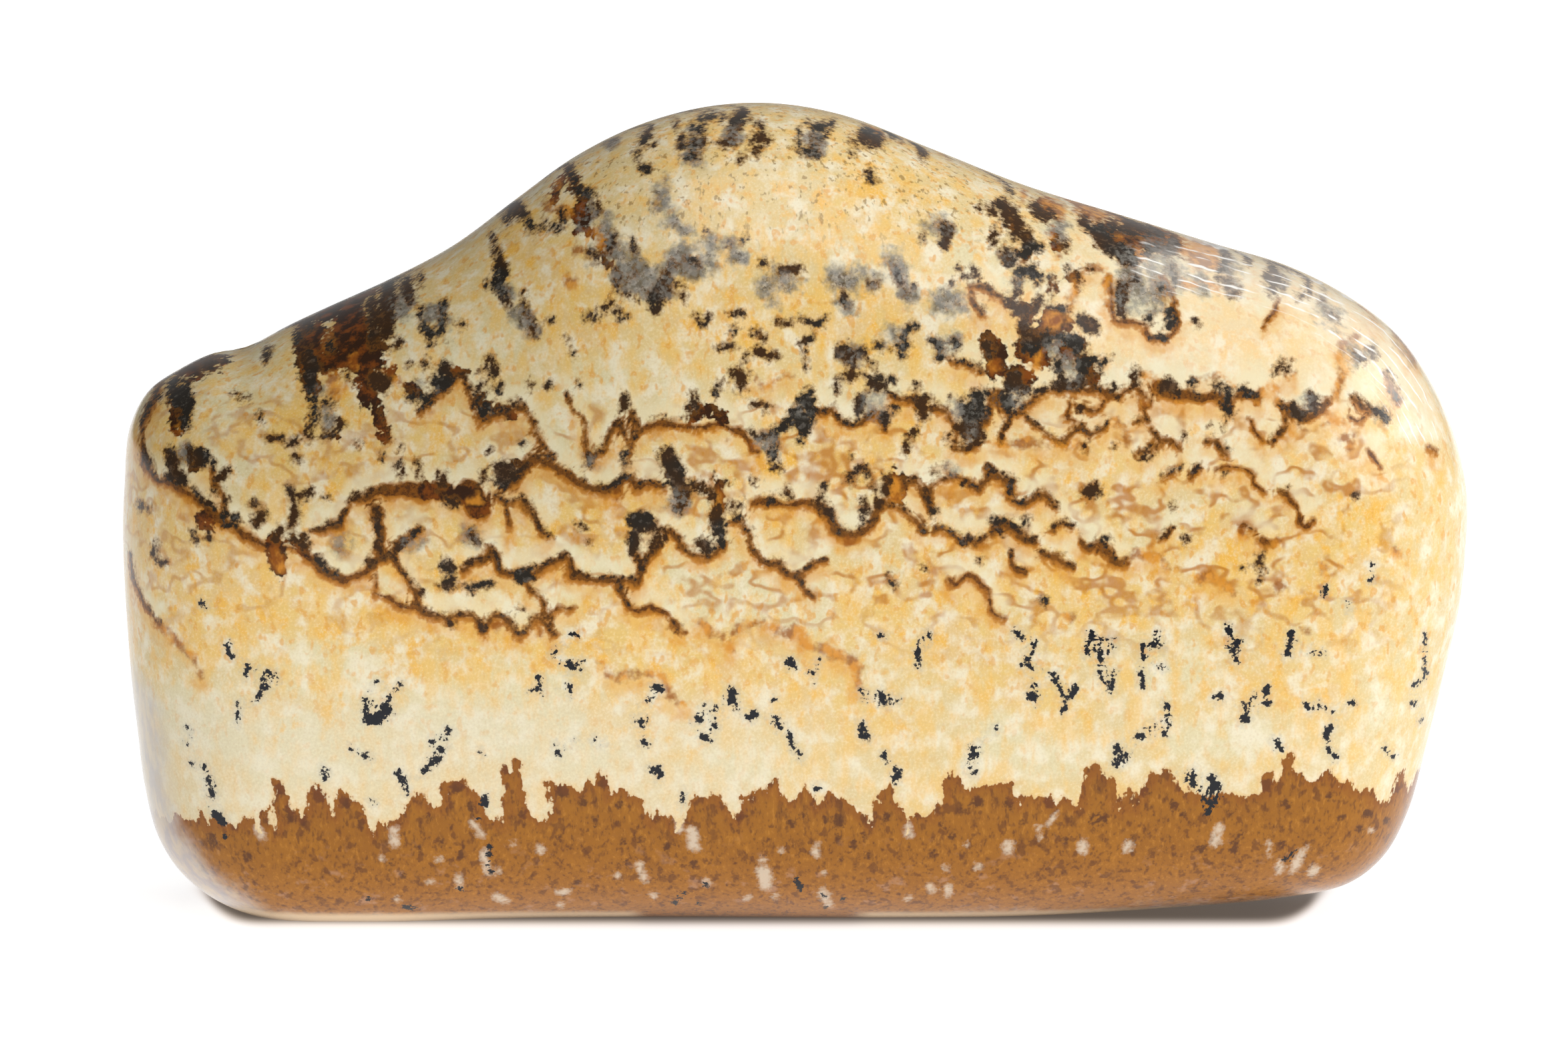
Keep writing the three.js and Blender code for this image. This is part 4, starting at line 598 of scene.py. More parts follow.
# The grids of cells over the two sides
SPAN_STEPS = 24  # fine points between two points of the outline
CHUNK = 4000  # how many points the rim distance is worked out for at a time
CORNERS = ((-29.5, 24.5), (29.3, 25.0), (27.5, 2.8), (-29.0, 1.5))  # X, Z where the corners meet the outline
FRONT_CELLS = (320, 210)
BACK_CELLS = (160, 105)  # half as many each way, so every second edge point of the front is one of the back
TABLE_STEPS = 4001  # entries in the table of insets over the rim
TABLE_CROWDING = 2.5  # how much closer together they lie towards the outline, where 1 is not at all
DEPTH_SHARE = 0.5  # how much depth counts in the length of the way over the rim
KNEE_OVER, KNEE_BESIDE, KNEE_BEND = 0.46, 0.634, 0.087  # share of the way out at which the rim's part begins
MAP_WIDTH, FRONT_MAP, BACK_MAP = (0.006, 0.994), (0.392, 0.994), (0.006, 0.380)  # U, and V of each side


# -------------------------------------------------------------------------------------------------
# The skin
# -------------------------------------------------------------------------------------------------
def spline(points, steps):
    """The closed centripetal Catmull-Rom curve through the points."""
    out = []
    n = len(points)
    for i in range(n):
        p0, p1, p2, p3 = (points[(i + k) % n] for k in (-1, 0, 1, 2))
        d0, d1, d2 = (np.linalg.norm(b - a) ** 0.5 for a, b in ((p0, p1), (p1, p2), (p2, p3)))
        m1 = ((p1 - p0) / d0 - (p2 - p0) / (d0 + d1) + (p2 - p1) / d1) * d1
        m2 = ((p2 - p1) / d1 - (p3 - p1) / (d1 + d2) + (p3 - p2) / d2) * d1
        for u in np.arange(steps) / steps:
            out.append(
                (2 * u**3 - 3 * u**2 + 1) * p1 + (u**3 - 2 * u**2 + u) * m1
                + (3 * u**2 - 2 * u**3) * p2 + (u**3 - u**2) * m2
            )
    return np.array(out)


fine = spline(np.array(OUTLINE), SPAN_STEPS)
fine_step = np.linalg.norm(np.roll(fine, -1, 0) - fine, axis=1)
fine_share = (fine_step + np.roll(fine_step, 1)) / 2
arc = np.concatenate([[0], np.cumsum(fine_step)])
closed = np.vstack([fine, fine[:1]])


def on_outline(s):
    s = np.mod(s, arc[-1])
    return np.stack([np.interp(s, arc, closed[:, 0]), np.interp(s, arc, closed[:, 1])], -1)


def smooth_distance(p):
    """The distance from the outline, like the shortest one but with no crease between two sides."""
    out = np.empty(len(p))
    for a in range(0, len(p), CHUNK):
        part = p[a:a + CHUNK, None]
        r2 = (fine[None, :, 0] - part[..., 0]) ** 2 + (fine[None, :, 1] - part[..., 1]) ** 2
        out[a:a + CHUNK] = ((r2 ** (-(SHARPNESS + 1) / 2)) @ fine_share / LINE_SUM) ** (-1 / SHARPNESS)
    return out


def rim_rise(distance):
    """How far out the rim's section has come at a distance from the outline, from 0 to 1 on the face."""
    return (1 - np.maximum(1 - distance / RIM_WIDTH, 0) ** RIM_SQUARENESS) ** (1 / RIM_SQUARENESS)


def surface(start, inset, side):
    """Points an inset in from outline points, on the way to the middle, and their rim distance."""
    inward = np.array(MIDDLE) - start
    length = np.linalg.norm(inward, axis=1)
    inward = inward / length[:, None]
    at = start + inward * inset[:, None]
    far = start + inward * np.maximum(inset, NEAR)[:, None]
    distance = smooth_distance(far) * np.minimum(inset / NEAR, 1)
    dx = (at[:, 0] - MIDDLE[0]) / CROWN_REACH[0]
    dz = (at[:, 1] - MIDDLE[1]) / CROWN_REACH[1]
    wave = np.sin(2 * np.pi * at[:, 0] / WAVE_LENGTH[0] + WAVE_SHIFT[0])
    wave = wave * np.cos(2 * np.pi * at[:, 1] / WAVE_LENGTH[1] + WAVE_SHIFT[1])
    depth = (FRONT_DEPTH if side < 0 else BACK_DEPTH) - CROWN * (dx * dx + dz * dz) + WAVE_HEIGHT * wave
    return np.stack([at[:, 0], side * rim_rise(distance) * depth, np.maximum(at[:, 1], 0)], -1), distance


def rim_inset_table():
    """Insets over the rim, and the share of the way over it that each has come."""
    inset = np.linspace(0, 1, TABLE_STEPS) ** TABLE_CROWDING * RIM_REACH
    way = np.hypot(np.diff(inset), DEPTH_SHARE * np.diff(rim_rise(inset) * FRONT_DEPTH))
    way = np.concatenate([[0], np.cumsum(way)])
    return way / way[-1], inset


way_share, way_inset = rim_inset_table()
corner_arc = [arc[np.argmin(np.hypot(*(fine - c).T))] for c in np.array(CORNERS)]
for k in range(1, len(CORNERS)):
    while corner_arc[k] < corner_arc[k - 1]:
        corner_arc[k] += arc[-1]


def grid_points(cells, side):
    """A grid's points over one side, column by column, with their rim distance and place along the rim."""
    s, t = np.meshgrid(np.linspace(-1, 1, cells[0] + 1), np.linspace(-1, 1, cells[1] + 1), indexing="ij")
    s, t = s.ravel(), t.ravel()
    shell = np.maximum(np.abs(s), np.abs(t))
    safe = np.where(shell > 0, shell, 1)
    a, b = s / safe, t / safe
    c0, c1, c2, c3 = corner_arc
    c4 = c0 + arc[-1]
    along = np.where(
        b >= 1 - TINY, c0 + (a + 1) / 2 * (c1 - c0),
        np.where(
            a >= 1 - TINY, c1 + (1 - b) / 2 * (c2 - c1),
            np.where(b <= -1 + TINY, c2 + (1 - a) / 2 * (c3 - c2), c3 + (b + 1) / 2 * (c4 - c3)),
        ),
    )
    start = on_outline(along)
    length = np.hypot(start[:, 0] - MIDDLE[0], start[:, 1] - MIDDLE[1])
    over = np.abs(b) >= np.abs(a)
    knee = np.where(over, KNEE_OVER + KNEE_BEND * a * a, KNEE_BESIDE - KNEE_BEND * b * b)
    rim = np.interp((1 - shell) / (1 - knee), way_share, way_inset)
    face = length - (length - RIM_REACH) * shell / knee
    inset = np.where(shell >= knee, rim, face)
    points, distance = surface(start, np.minimum(inset, length), side)
    return points, distance, along


def map_points(cells, heights):
    """The bake map's coordinates for a side's grid."""
    across = np.linspace(*MAP_WIDTH, cells[0] + 1)
    u, v = np.meshgrid(across, np.linspace(*heights, cells[1] + 1), indexing="ij")
    return np.stack([u.ravel(), v.ravel()], -1)


def numbered(cells):
    columns, rows = cells
    return np.arange((columns + 1) * (rows + 1)).reshape(columns + 1, rows + 1)


def grid_quads(cells, side):
    at = numbered(cells)
    quads = np.stack([at[:-1, :-1], at[1:, :-1], at[1:, 1:], at[:-1, 1:]], -1).reshape(-1, 4)
    return quads if side < 0 else quads[:, [0, 3, 2, 1]]


def perimeter(cells):
    """Point numbers round a grid's edge, anticlockwise from the lower left corner as seen from the front."""
    at = numbered(cells)
    return np.concatenate([at[:-1, 0], at[-1, :-1], at[:0:-1, -1], at[0, :0:-1]])


def point_between(k, m, fine_edge):
    """The front's edge point between the back's k-th and m-th ones, if these are neighbours."""
    if k is None or m is None:
        return None
    count = len(fine_edge) // 2
    if (m - k) % count == 1:
        return int(fine_edge[2 * k + 1])
    if (k - m) % count == 1:
        return int(fine_edge[2 * m + 1])
    return None


def build_mesh():
    front, back = grid_points(FRONT_CELLS, -1), grid_points(BACK_CELLS, 1)
    fine_edge, coarse_edge = perimeter(FRONT_CELLS), perimeter(BACK_CELLS)
    front_uv, back_uv = map_points(FRONT_CELLS, FRONT_MAP), map_points(BACK_CELLS, BACK_MAP)
    # The back's edge points are the front's, every second one.
    kept = np.ones(len(back_uv), bool)
    kept[coarse_edge] = False
    number = np.empty(len(back_uv), int)
    number[coarse_edge] = fine_edge[::2]
    number[kept] = len(front_uv) + np.arange(kept.sum())
    points, rim, along = (np.concatenate([f, b[kept]]) for f, b in zip(front, back))

    quads = grid_quads(FRONT_CELLS, -1)
    faces, maps = quads.tolist(), front_uv[quads].tolist()
    place = {int(point): k for k, point in enumerate(coarse_edge)}
    for quad in grid_quads(BACK_CELLS, 1).tolist():
        corners, uv = [], []
        for p, q in zip(quad, quad[1:] + quad[:1]):
            corners.append(int(number[p]))
            uv.append(back_uv[p].tolist())
            between = point_between(place.get(p), place.get(q), fine_edge)
            if between is not None:
                corners.append(between)
                uv.append(((back_uv[p] + back_uv[q]) / 2).tolist())
        faces.append(corners)
        maps.append(uv)
    return points, rim, along, faces, maps


def lattice_noise(u, w, size, seed):
    """Smooth noise of -1 to 1 over a lattice of that size."""
    table = np.random.RandomState(seed).uniform(-1, 1, (LATTICE, LATTICE))
    i, j = np.floor(u / size), np.floor(w / size)
    a, b = u / size - i, w / size - j
    a, b = a * a * (3 - 2 * a), b * b * (3 - 2 * b)
    i, j = i.astype(int) % LATTICE, j.astype(int) % LATTICE
    k, m = (i + 1) % LATTICE, (j + 1) % LATTICE
    low, high = (table[i, row] * (1 - a) + table[k, row] * a for row in (j, m))
    return low * (1 - b) + high * b


def wobble(u, w, parts):
    return sum(height * lattice_noise(u, w, size, seed) for height, size, seed in parts)


def nearest_stroke(u, w, strokes, swell=1.0):
    """Distance to the edge of the nearest stroke, the way to its middle line, and its half width there.

    A distance interpolated between points is too large on a thin line. The way to the line isn't, so the
    material takes the length of that.
    """
    distance = np.full(len(u), FAR)
    way = np.tile([FAR, 0.0, 0.0], (len(u), 1))
    swell = np.broadcast_to(swell, len(u))
    for stroke in strokes:
        half, route = stroke[0], np.array(stroke[1:], float).reshape(-1, 2)
        low, high = route.min(0) - FAR - half, route.max(0) + FAR + half
        near = np.flatnonzero((u > low[0]) & (u < high[0]) & (w > low[1]) & (w < high[1]))
        if not len(near):
            continue
        p = np.stack([u[near], w[near]], -1)
        off = p - route[0]
        length = np.hypot(*off.T)
        for a, b in zip(route[:-1], route[1:]):
            k = np.clip((p - a) @ (b - a) / max((b - a) @ (b - a), TINY), 0, 1)
            other = p - a - k[:, None] * (b - a)
            other_length = np.hypot(*other.T)
            closer = other_length < length
            off[closer], length[closer] = other[closer], other_length[closer]
        reach = half * swell[near]
        closer = length - reach < distance[near]
        hit = near[closer]
        distance[hit] = (length - reach)[closer]
        way[hit] = np.column_stack([off, reach])[closer]
    return distance, way


def band_depth(u, w):
    """How deep inside the band a point is, below 0 outside it."""
    route = np.array(BAND_TOP, float).reshape(-1, 2)
    distance = -nearest_stroke(u, w, [[0.0, *BAND_TOP]])[0]
    below = np.zeros(len(u), int)
    for a, b in zip(route[:-1], route[1:]):
        lo, hi = (a, b) if a[0] <= b[0] else (b, a)
        hit = (u >= lo[0]) & (u < hi[0])
        height = lo[1] + (hi[1] - lo[1]) * (u - lo[0]) / max(hi[0] - lo[0], TINY)
        below += hit & (w < height)
    return np.where(below % 2 == 1, -distance, distance)


def marking_place(points):
    """Where on the banded face's drawing each point of the stone takes its markings from."""
    x, y, z = points.T
    depth = np.maximum(y - DRIFT_START, 0)
    u = x + DRIFT * depth * depth / (depth + DRIFT_ONSET)
    rise, rate, start = RISE_ALONG
    fall, fall_rate = FALL_UP
    w = z + rise * depth * np.sin(rate * x + start) - fall * depth * np.sin(fall_rate * z)
    return np.where(u > FOLD, 2 * FOLD - u, u), w


def raised(route, by):
    return [value + by * (k % 2) for k, value in enumerate(route)]


def marking_fields(points):
    """For each point and kind of marking, the distance from the nearest stroke, and for two the way there."""
    u, w = marking_place(points)
    swell = 1.0 + wobble(u, w, SWELL)
    u, w = u + wobble(u, w, WANDER_X), w + wobble(u, w, WANDER_Z)
    core_swell = np.clip(0.5 + wobble(u, w, CORE_SWELL), 0, 1.6)

    veins = [(half, black, route) for half, black, *route in VEINS]
    all_veins = [[half, *route] for half, _, route in veins]
    ochre = [[half + OCHRE_WIDENING, *route] for half, black, route in veins if black < BROWN_FROM]
    brown = [[BROWN_WIDTH * half, *route] for half, black, route in veins if black >= BROWN_FROM]
    cores = [
        [CORE_WIDTH * half * black, *raised(route, CORE_RISE[0] + CORE_RISE[1] * half)]
        for half, black, route in veins if black >= CORE_FROM
    ]
    vein, vein_way = nearest_stroke(u, w, brown, swell)
    speck, speck_way = nearest_stroke(u, w, SPECKS)
    dark = np.minimum(nearest_stroke(u, w, cores, core_swell)[0], nearest_stroke(u, w, DARKS, swell)[0])
    fields = {
        "band": band_depth(u, w),
        "vein": vein,
        "under": nearest_stroke(u, w + UNDER_SHIFT, all_veins)[0],
        "above": nearest_stroke(u, w + ABOVE_SHIFT, brown)[0],
        "hem": nearest_stroke(u, w + HEM_SHIFT, brown, swell)[0],
        "dark": dark,
        "speck": speck,
    }
    others = {
        "drop": DROPS, "pale": PALES, "peach": PEACHES, "grey_veil": GREYS_AND_VEILS, "orange": ORANGES + ochre,
        "mass": MASSES, "glare": GLARES, "mote": MOTES, "scratch_sheen": SCRATCH_SHEEN,
    }
    for name, strokes in others.items():
        fields[name] = nearest_stroke(u, w, strokes)[0]
    return fields, {"vein_way": vein_way, "speck_way": speck_way}


points, rim_distance, rim_place, faces, maps = build_mesh()
fields, ways = marking_fields(points)
fields |= {"rim": rim_distance, "along": rim_place}

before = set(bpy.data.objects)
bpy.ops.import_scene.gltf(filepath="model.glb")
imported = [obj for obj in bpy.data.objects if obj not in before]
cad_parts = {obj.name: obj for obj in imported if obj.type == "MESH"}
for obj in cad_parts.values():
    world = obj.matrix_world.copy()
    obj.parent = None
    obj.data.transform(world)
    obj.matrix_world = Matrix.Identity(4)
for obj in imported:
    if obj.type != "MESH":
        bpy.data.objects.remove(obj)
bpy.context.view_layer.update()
low, high = (np.array(v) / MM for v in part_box("jasper_stone"))
points = points + (low + high - points.min(0) - points.max(0)) / 2
points[:, 2] += low[2] - points[:, 2].min()

mesh = bpy.data.meshes.new("jasper_skin")
mesh.from_pydata((points * MM).tolist(), [], faces)
mesh.update()
layer = mesh.uv_layers.new(name="OFBake")
layer.data.foreach_set("uv", np.array([c for face in maps for c in face], np.float32).ravel())
mesh.polygons.foreach_set("use_smooth", np.ones(len(mesh.polygons), bool))
for name, values in fields.items():
    data = mesh.attributes.new(name, "FLOAT", "POINT").data
    data.foreach_set("value", values.astype(np.float32))
for name, values in ways.items():
    data = mesh.attributes.new(name, "FLOAT_VECTOR", "POINT").data
    data.foreach_set("vector", values.astype(np.float32).ravel())
stone = bpy.data.objects.new("jasper_skin", mesh)
bpy.context.scene.collection.objects.link(stone)


# -------------------------------------------------------------------------------------------------
# Materials
# -------------------------------------------------------------------------------------------------
LINE_SLACK = 0.13  # millimetres by which an interpolated distance may be too large on a thin stroke
COLOUR_A, COLOUR_B, COLOUR_OUT = 6, 7, 2  # a Mix node's colour sockets, whose names others have too


def rgb(r, g, b):
    """An sRGB colour of 0 to 255 as a linear one."""
    linear = [c / 255 / 12.92 if c <= 10 else ((c / 255 + 0.055) / 1.055) ** 2.4 for c in (r, g, b)]
    return (*linear, 1)


class Nodes:
    """Short names for the nodes that a material or the world is made of."""

    def __init__(self, owner):
        owner.use_nodes = True
        self.tree = owner.node_tree
        self.tree.nodes.clear()

    def node(self, kind, inputs=None, **settings):
        made = self.tree.nodes.new(kind)
        for name, value in settings.items():
            setattr(made, name, value)
        for name, value in (inputs or {}).items():
            if isinstance(value, bpy.types.NodeSocket):
                self.tree.links.new(value, made.inputs[name])
            else:
                made.inputs[name].default_value = value
        return made

    def field(self, name):
        return self.node("ShaderNodeAttribute", attribute_name=name).outputs["Fac"]

    def line(self, name):
        """Distance to the edge of the strokes of that name, which is right on thin ones too."""
        way = self.node("ShaderNodeAttribute", attribute_name=name + "_way").outputs["Vector"]
        across, up, half = self.node("ShaderNodeSeparateXYZ", {0: way}).outputs
        length = self.math("SQRT", self.add(self.times(across, across), self.times(up, up)))
        coarse = self.add(self.field(name), -LINE_SLACK)
        return self.math("MAXIMUM", self.math("SUBTRACT", length, half), coarse)

    def math(self, operation, a, b=0.0):
        return self.node("ShaderNodeMath", {0: a, 1: b}, operation=operation).outputs[0]

    def add(self, *terms):
        total = terms[0]
        for term in terms[1:]:
            total = self.math("ADD", total, term)
        return total

    def times(self, *terms):
        total = terms[0]
        for term in terms[1:]:
            total = self.math("MULTIPLY", total, term)
        return total

    def ramp(self, value, start, end, low=0.0, high=1.0):
        """low at start, high at end, and smooth between them."""
        inputs = {"Value": value, "From Min": start, "From Max": end, "To Min": low, "To Max": high}
        return self.node("ShaderNodeMapRange", inputs, interpolation_type="SMOOTHSTEP").outputs[0]

    def noise(self, vector, scale, detail=2.0, rough=0.5):
        """Noise around 0.5, with about that many cells to the unit."""
        inputs = {"Vector": vector, "Scale": scale, "Detail": detail, "Roughness": rough}
        return self.node("ShaderNodeTexNoise", inputs).outputs["Fac"]

    def centred(self, vector, scale, detail, rough):
        """Noise of about 1 to both sides of 0."""
        noise = self.noise(vector, scale, detail, rough)
        return self.math("MULTIPLY", self.math("SUBTRACT", noise, 0.5), 2.0)

    def mix(self, share, a, b, blend="MIX"):
        inputs = {"Factor": share, COLOUR_A: a, COLOUR_B: b}
        settings = {"data_type": "RGBA", "clamp_factor": True, "blend_type": blend}
        return self.node("ShaderNodeMix", inputs, **settings).outputs[COLOUR_OUT]

    def over(self, base, *layers):
        """base with layers over it, each a share and a colour."""
        for share, colour in layers:
            base = self.mix(share, base, colour)
        return base

    def place(self, vector, scale=(1, 1, 1), offset=(0, 0, 0)):
        inputs = {"Vector": vector, "Scale": scale, "Location": offset}
        return self.node("ShaderNodeMapping", inputs).outputs[0]


class Jasper(Nodes):
    """The stone's nodes: places in millimetres, and the noises that several of its colours share."""

    def __init__(self, material):
        super().__init__(material)
        self.where = self.place(self.node("ShaderNodeTexCoord").outputs["Object"], scale=(1 / MM,) * 3)
        self.across, _, self.height = self.node("ShaderNodeSeparateXYZ", {0: self.where}).outputs
        self.other = self.place(self.where, offset=(31.7, 12.3, 5.1))
        self.upright = self.place(self.where, scale=(1.0, 1.0, 0.45))
        self.tall = self.place(self.other, scale=(1.0, 1.0, 0.3))
        self.broad = self.centred(self.where, 0.45, 4.0, 0.6)
        self.coarse = self.centred(self.where, 2.1, 2.0, 0.55)
        self.ragged = self.centred(self.other, 3.8, 2.0, 0.5)
        self.fine = self.centred(self.where, 7.5, 2.0, 0.6)
        self.comb = self.centred(self.tall, 3.4, 2.0, 0.6)
        self.fleck = self.noise(self.place(self.other, scale=(1.0, 1.0, 0.75)), 1.3, 3.0, 0.6)
        self.soot = self.noise(self.where, 5.0, 3.0, 0.7)

    def worn(self, distance, **shares):
        """A distance plus those shares of the noises named, so that the edge it makes is uneven."""
        return self.add(distance, *(self.times(getattr(self, name), share) for name, share in shares.items()))


def ground(n):
    """Cream, with peach and tan that come and go over a few millimetres, and whitish pools."""
    patch = n.noise(n.other, 0.3, 4.0, 0.6)
    cream = n.mix(n.ramp(patch, 0.35, 0.65), rgb(222, 200, 148), rgb(228, 200, 138))
    peach = n.ramp(n.worn(n.field("peach"), broad=1.6), 0.9, -0.7)
    tan = n.mix(n.ramp(n.noise(n.where, 0.8, 4.0, 0.65), 0.4, 0.6), rgb(228, 192, 130), rgb(232, 194, 110))
    pale = n.ramp(n.worn(n.field("pale"), broad=0.9, coarse=0.2), 0.6, -0.4, 0.0, 0.85)
    white = n.ramp(n.noise(n.other, 1.0, 3.0, 0.55), 0.42, 0.66, 0.0, 0.85)
    yellow = n.ramp(n.noise(n.upright, 1.0, 3.0, 0.6), 0.45, 0.68, 0.0, 0.7)
    milk = n.times(n.ramp(n.height, 12.5, 10.0), n.ramp(n.across, 6.0, -8.0, 0.1, 0.5))
    warm = n.add(n.times(peach, 0.45), n.ramp(n.height, 8.5, 15.0, 0.15, 0.62))
    golden = n.times(n.ramp(n.fleck, 0.5, 0.7), warm)
    prick = n.noise(n.place(n.where, scale=(1.0, 1.0, 0.7)), 2.6, 1.0, 0.5)
    prick = n.times(n.ramp(prick, 0.58, 0.72), n.ramp(n.height, 8.0, 15.0, 0.15, 0.7))
    grain = n.noise(n.other, 9.0, 2.0, 0.6)
    # painted light: the upper right is paler, as if lit more strongly
    painted_light = n.times(n.ramp(n.across, 6.0, 18.0), n.ramp(n.height, 19.0, 27.0, 0.0, 0.4))
    stain = n.ramp(n.noise(n.tall, 3.2, 2.0, 0.6), 0.58, 0.68)
    stain = n.times(stain, n.ramp(n.height, 31.0, 33.5, 0.0, 0.7))
    return n.over(
        cream,
        (n.times(peach, 0.8), tan),
        (pale, rgb(224, 212, 170)),
        (white, rgb(240, 230, 202)),
        (yellow, rgb(238, 192, 100)),
        (milk, rgb(226, 216, 188)),
        (golden, rgb(238, 184, 82)),
        (prick, rgb(226, 162, 66)),
        (n.ramp(grain, 0.5, 0.7, 0.0, 0.25), rgb(250, 238, 204)),
        (n.ramp(grain, 0.5, 0.3, 0.0, 0.2), rgb(204, 172, 116)),
        (painted_light, rgb(252, 238, 208)),
        (stain, rgb(150, 116, 62)),
    )


def grey_and_veiled_patches(n, base, grey_veil):
    """Blue-grey, with brown soot in it; over the hump and the right shoulder the grey is a painted reflection
    that veils dark marks.
    """
    slate = n.mix(n.ramp(n.noise(n.other, 2.2, 4.0, 0.7), 0.42, 0.62), rgb(66, 60, 56), rgb(164, 156, 146))
    sooty = n.times(grey_veil, n.ramp(n.soot, 0.54, 0.64, 0.0, 0.8))
    return n.over(base, (grey_veil, slate), (sooty, rgb(66, 44, 20)))


def golden_net(n, base):
    """Fine golden-brown lines between and below the veins."""
    cells = n.noise(n.place(n.other, scale=(1.0, 1.0, 1.5)), 0.4, 2.0, 0.6)
    thread = n.ramp(n.math("ABSOLUTE", n.add(cells, -0.5)), 0.06, 0.01)
    lower, upper = n.ramp(n.height, 12.0, 17.0), n.ramp(n.height, 25.2, 24.4)
    netted = n.times(lower, upper, n.ramp(n.across, -20.0, 6.0, 0.6, 1.0), n.ramp(n.across, 29.0, 25.0))
    broken = n.ramp(n.noise(n.where, 0.9, 2.0, 0.5), 0.38, 0.56, 0.0, 0.8)
    return n.over(base, (n.times(thread, netted, broken), rgb(184, 114, 30)))


def veins(n, base):
    """Whitish above, then a dark crisp upper edge, brown, and orange that fades downwards."""
    vein = n.worn(n.line("vein"), coarse=0.1, ragged=0.12)
    above = n.worn(n.field("above"), broad=0.3)
    under = n.worn(n.field("under"), broad=0.5, coarse=0.4)
    hem = n.worn(n.field("hem"), coarse=0.16, ragged=0.16)
    glow = n.mix(n.ramp(n.fleck, 0.4, 0.6), rgb(232, 180, 94), rgb(218, 148, 52))
    core = n.mix(n.ramp(n.soot, 0.4, 0.62), rgb(80, 44, 8), rgb(128, 74, 12))
    return n.over(
        base,
        (n.ramp(above, 0.5, -0.1, 0.0, 0.6), rgb(238, 228, 192)),
        (n.ramp(under, 0.5, -0.2, 0.0, 0.6), glow),
        (n.ramp(hem, 0.16, -0.02, 0.0, 0.85), rgb(186, 116, 22)),
        (n.ramp(vein, 0.16, 0.02, 0.0, 0.7), rgb(160, 96, 20)),
        (n.ramp(vein, 0.04, -0.06, 0.0, 0.95), core),
    )


def brown_masses(n, base):
    """Mottled dark brown and orange."""
    mass = n.ramp(n.worn(n.field("mass"), broad=0.25, coarse=0.45, ragged=0.3), 0.1, -0.06)
    umber = n.mix(n.ramp(n.noise(n.other, 1.3, 4.0, 0.65), 0.46, 0.64), rgb(54, 28, 6), rgb(128, 66, 8))
    orange = n.ramp(n.worn(n.field("orange"), coarse=0.3, ragged=0.2), 0.15, -0.2, 0.0, 0.85)
    rust = n.mix(n.ramp(n.fleck, 0.42, 0.6), rgb(150, 82, 12), rgb(216, 142, 44))
    return n.over(base, (mass, umber), (orange, rust))


def blotches(n, base, grey_veil):
    """Black-brown, with a ragged edge and a brown fringe, greyed in places: by grey mottles of the stone, and
    over the hump and the right shoulder by a painted reflection.
    """
    dark = n.add(n.worn(n.field("dark"), coarse=0.18, ragged=0.24, fine=0.18), -0.02)
    cool = n.ramp(n.noise(n.where, 0.35, 2.0, 0.5), 0.42, 0.6)
    ink = n.mix(cool, rgb(62, 38, 12), rgb(40, 34, 26))
    crumb = n.mix(cool, rgb(112, 74, 30), rgb(96, 90, 82))
    grit = n.mix(n.ramp(n.noise(n.other, 3.0, 3.0, 0.65), 0.52, 0.68, 0.0, 0.7), ink, crumb)
    frost_and_veil = n.times(grey_veil, n.ramp(n.noise(n.where, 3.4, 3.0, 0.6), 0.42, 0.6, 0.0, 0.75))
    return n.over(
        base,
        (n.ramp(dark, 0.24, 0.02, 0.0, 0.6), rgb(124, 78, 22)),
        (n.ramp(dark, 0.09, -0.07), grit),
        (frost_and_veil, rgb(140, 136, 126)),
    )


def ochre_of_band(n, edge):
    """Ochre, darker along its upper edge, with upright fibres, dark flecks and pale drops."""
    streak = n.noise(n.upright, 2.2, 3.0, 0.6)
    fibre = n.noise(n.tall, 5.0, 3.0, 0.65)
    mote = n.worn(n.field("mote"), ragged=0.2, fine=0.16, comb=0.12)
    lilac = n.ramp(n.noise(n.place(n.where, offset=(7.7, 3.3, 1.9)), 1.0, 3.0, 0.6), 0.56, 0.72)
    spots = n.noise(n.place(n.where, scale=(1.0, 1.0, 0.6), offset=(2.2, 9.1, 4.4)), 2.4, 2.0, 0.55)
    drop = n.worn(n.field("drop"), ragged=0.16, fine=0.14)
    return n.over(
        n.mix(n.noise(n.where, 0.7, 4.0, 0.6), rgb(138, 82, 2), rgb(172, 110, 12)),
        # painted light: the band is lighter towards its lowest edge, as if lit from the floor
        (n.ramp(n.height, 4.5, 1.0, 0.0, 0.25), rgb(174, 112, 34)),
        (n.ramp(streak, 0.54, 0.68, 0.0, 0.5), rgb(96, 50, 4)),
        (n.ramp(fibre, 0.54, 0.7, 0.0, 0.6), rgb(84, 42, 4)),
        (n.ramp(fibre, 0.46, 0.32, 0.0, 0.5), rgb(190, 126, 34)),
        (n.ramp(mote, 0.14, -0.06, 0.0, 0.85), rgb(80, 40, 5)),
        (n.times(lilac, n.ramp(n.height, 5.5, 2.0, 0.0, 0.5)), rgb(190, 146, 116)),
        (n.ramp(edge, 0.6, 0.0, 0.0, 0.5), rgb(126, 62, 2)),
        (n.ramp(spots, 0.56, 0.66, 0.0, 0.6), rgb(92, 46, 4)),
        (n.ramp(drop, 0.2, -0.14, 0.0, 0.85), rgb(218, 200, 176)),
    )


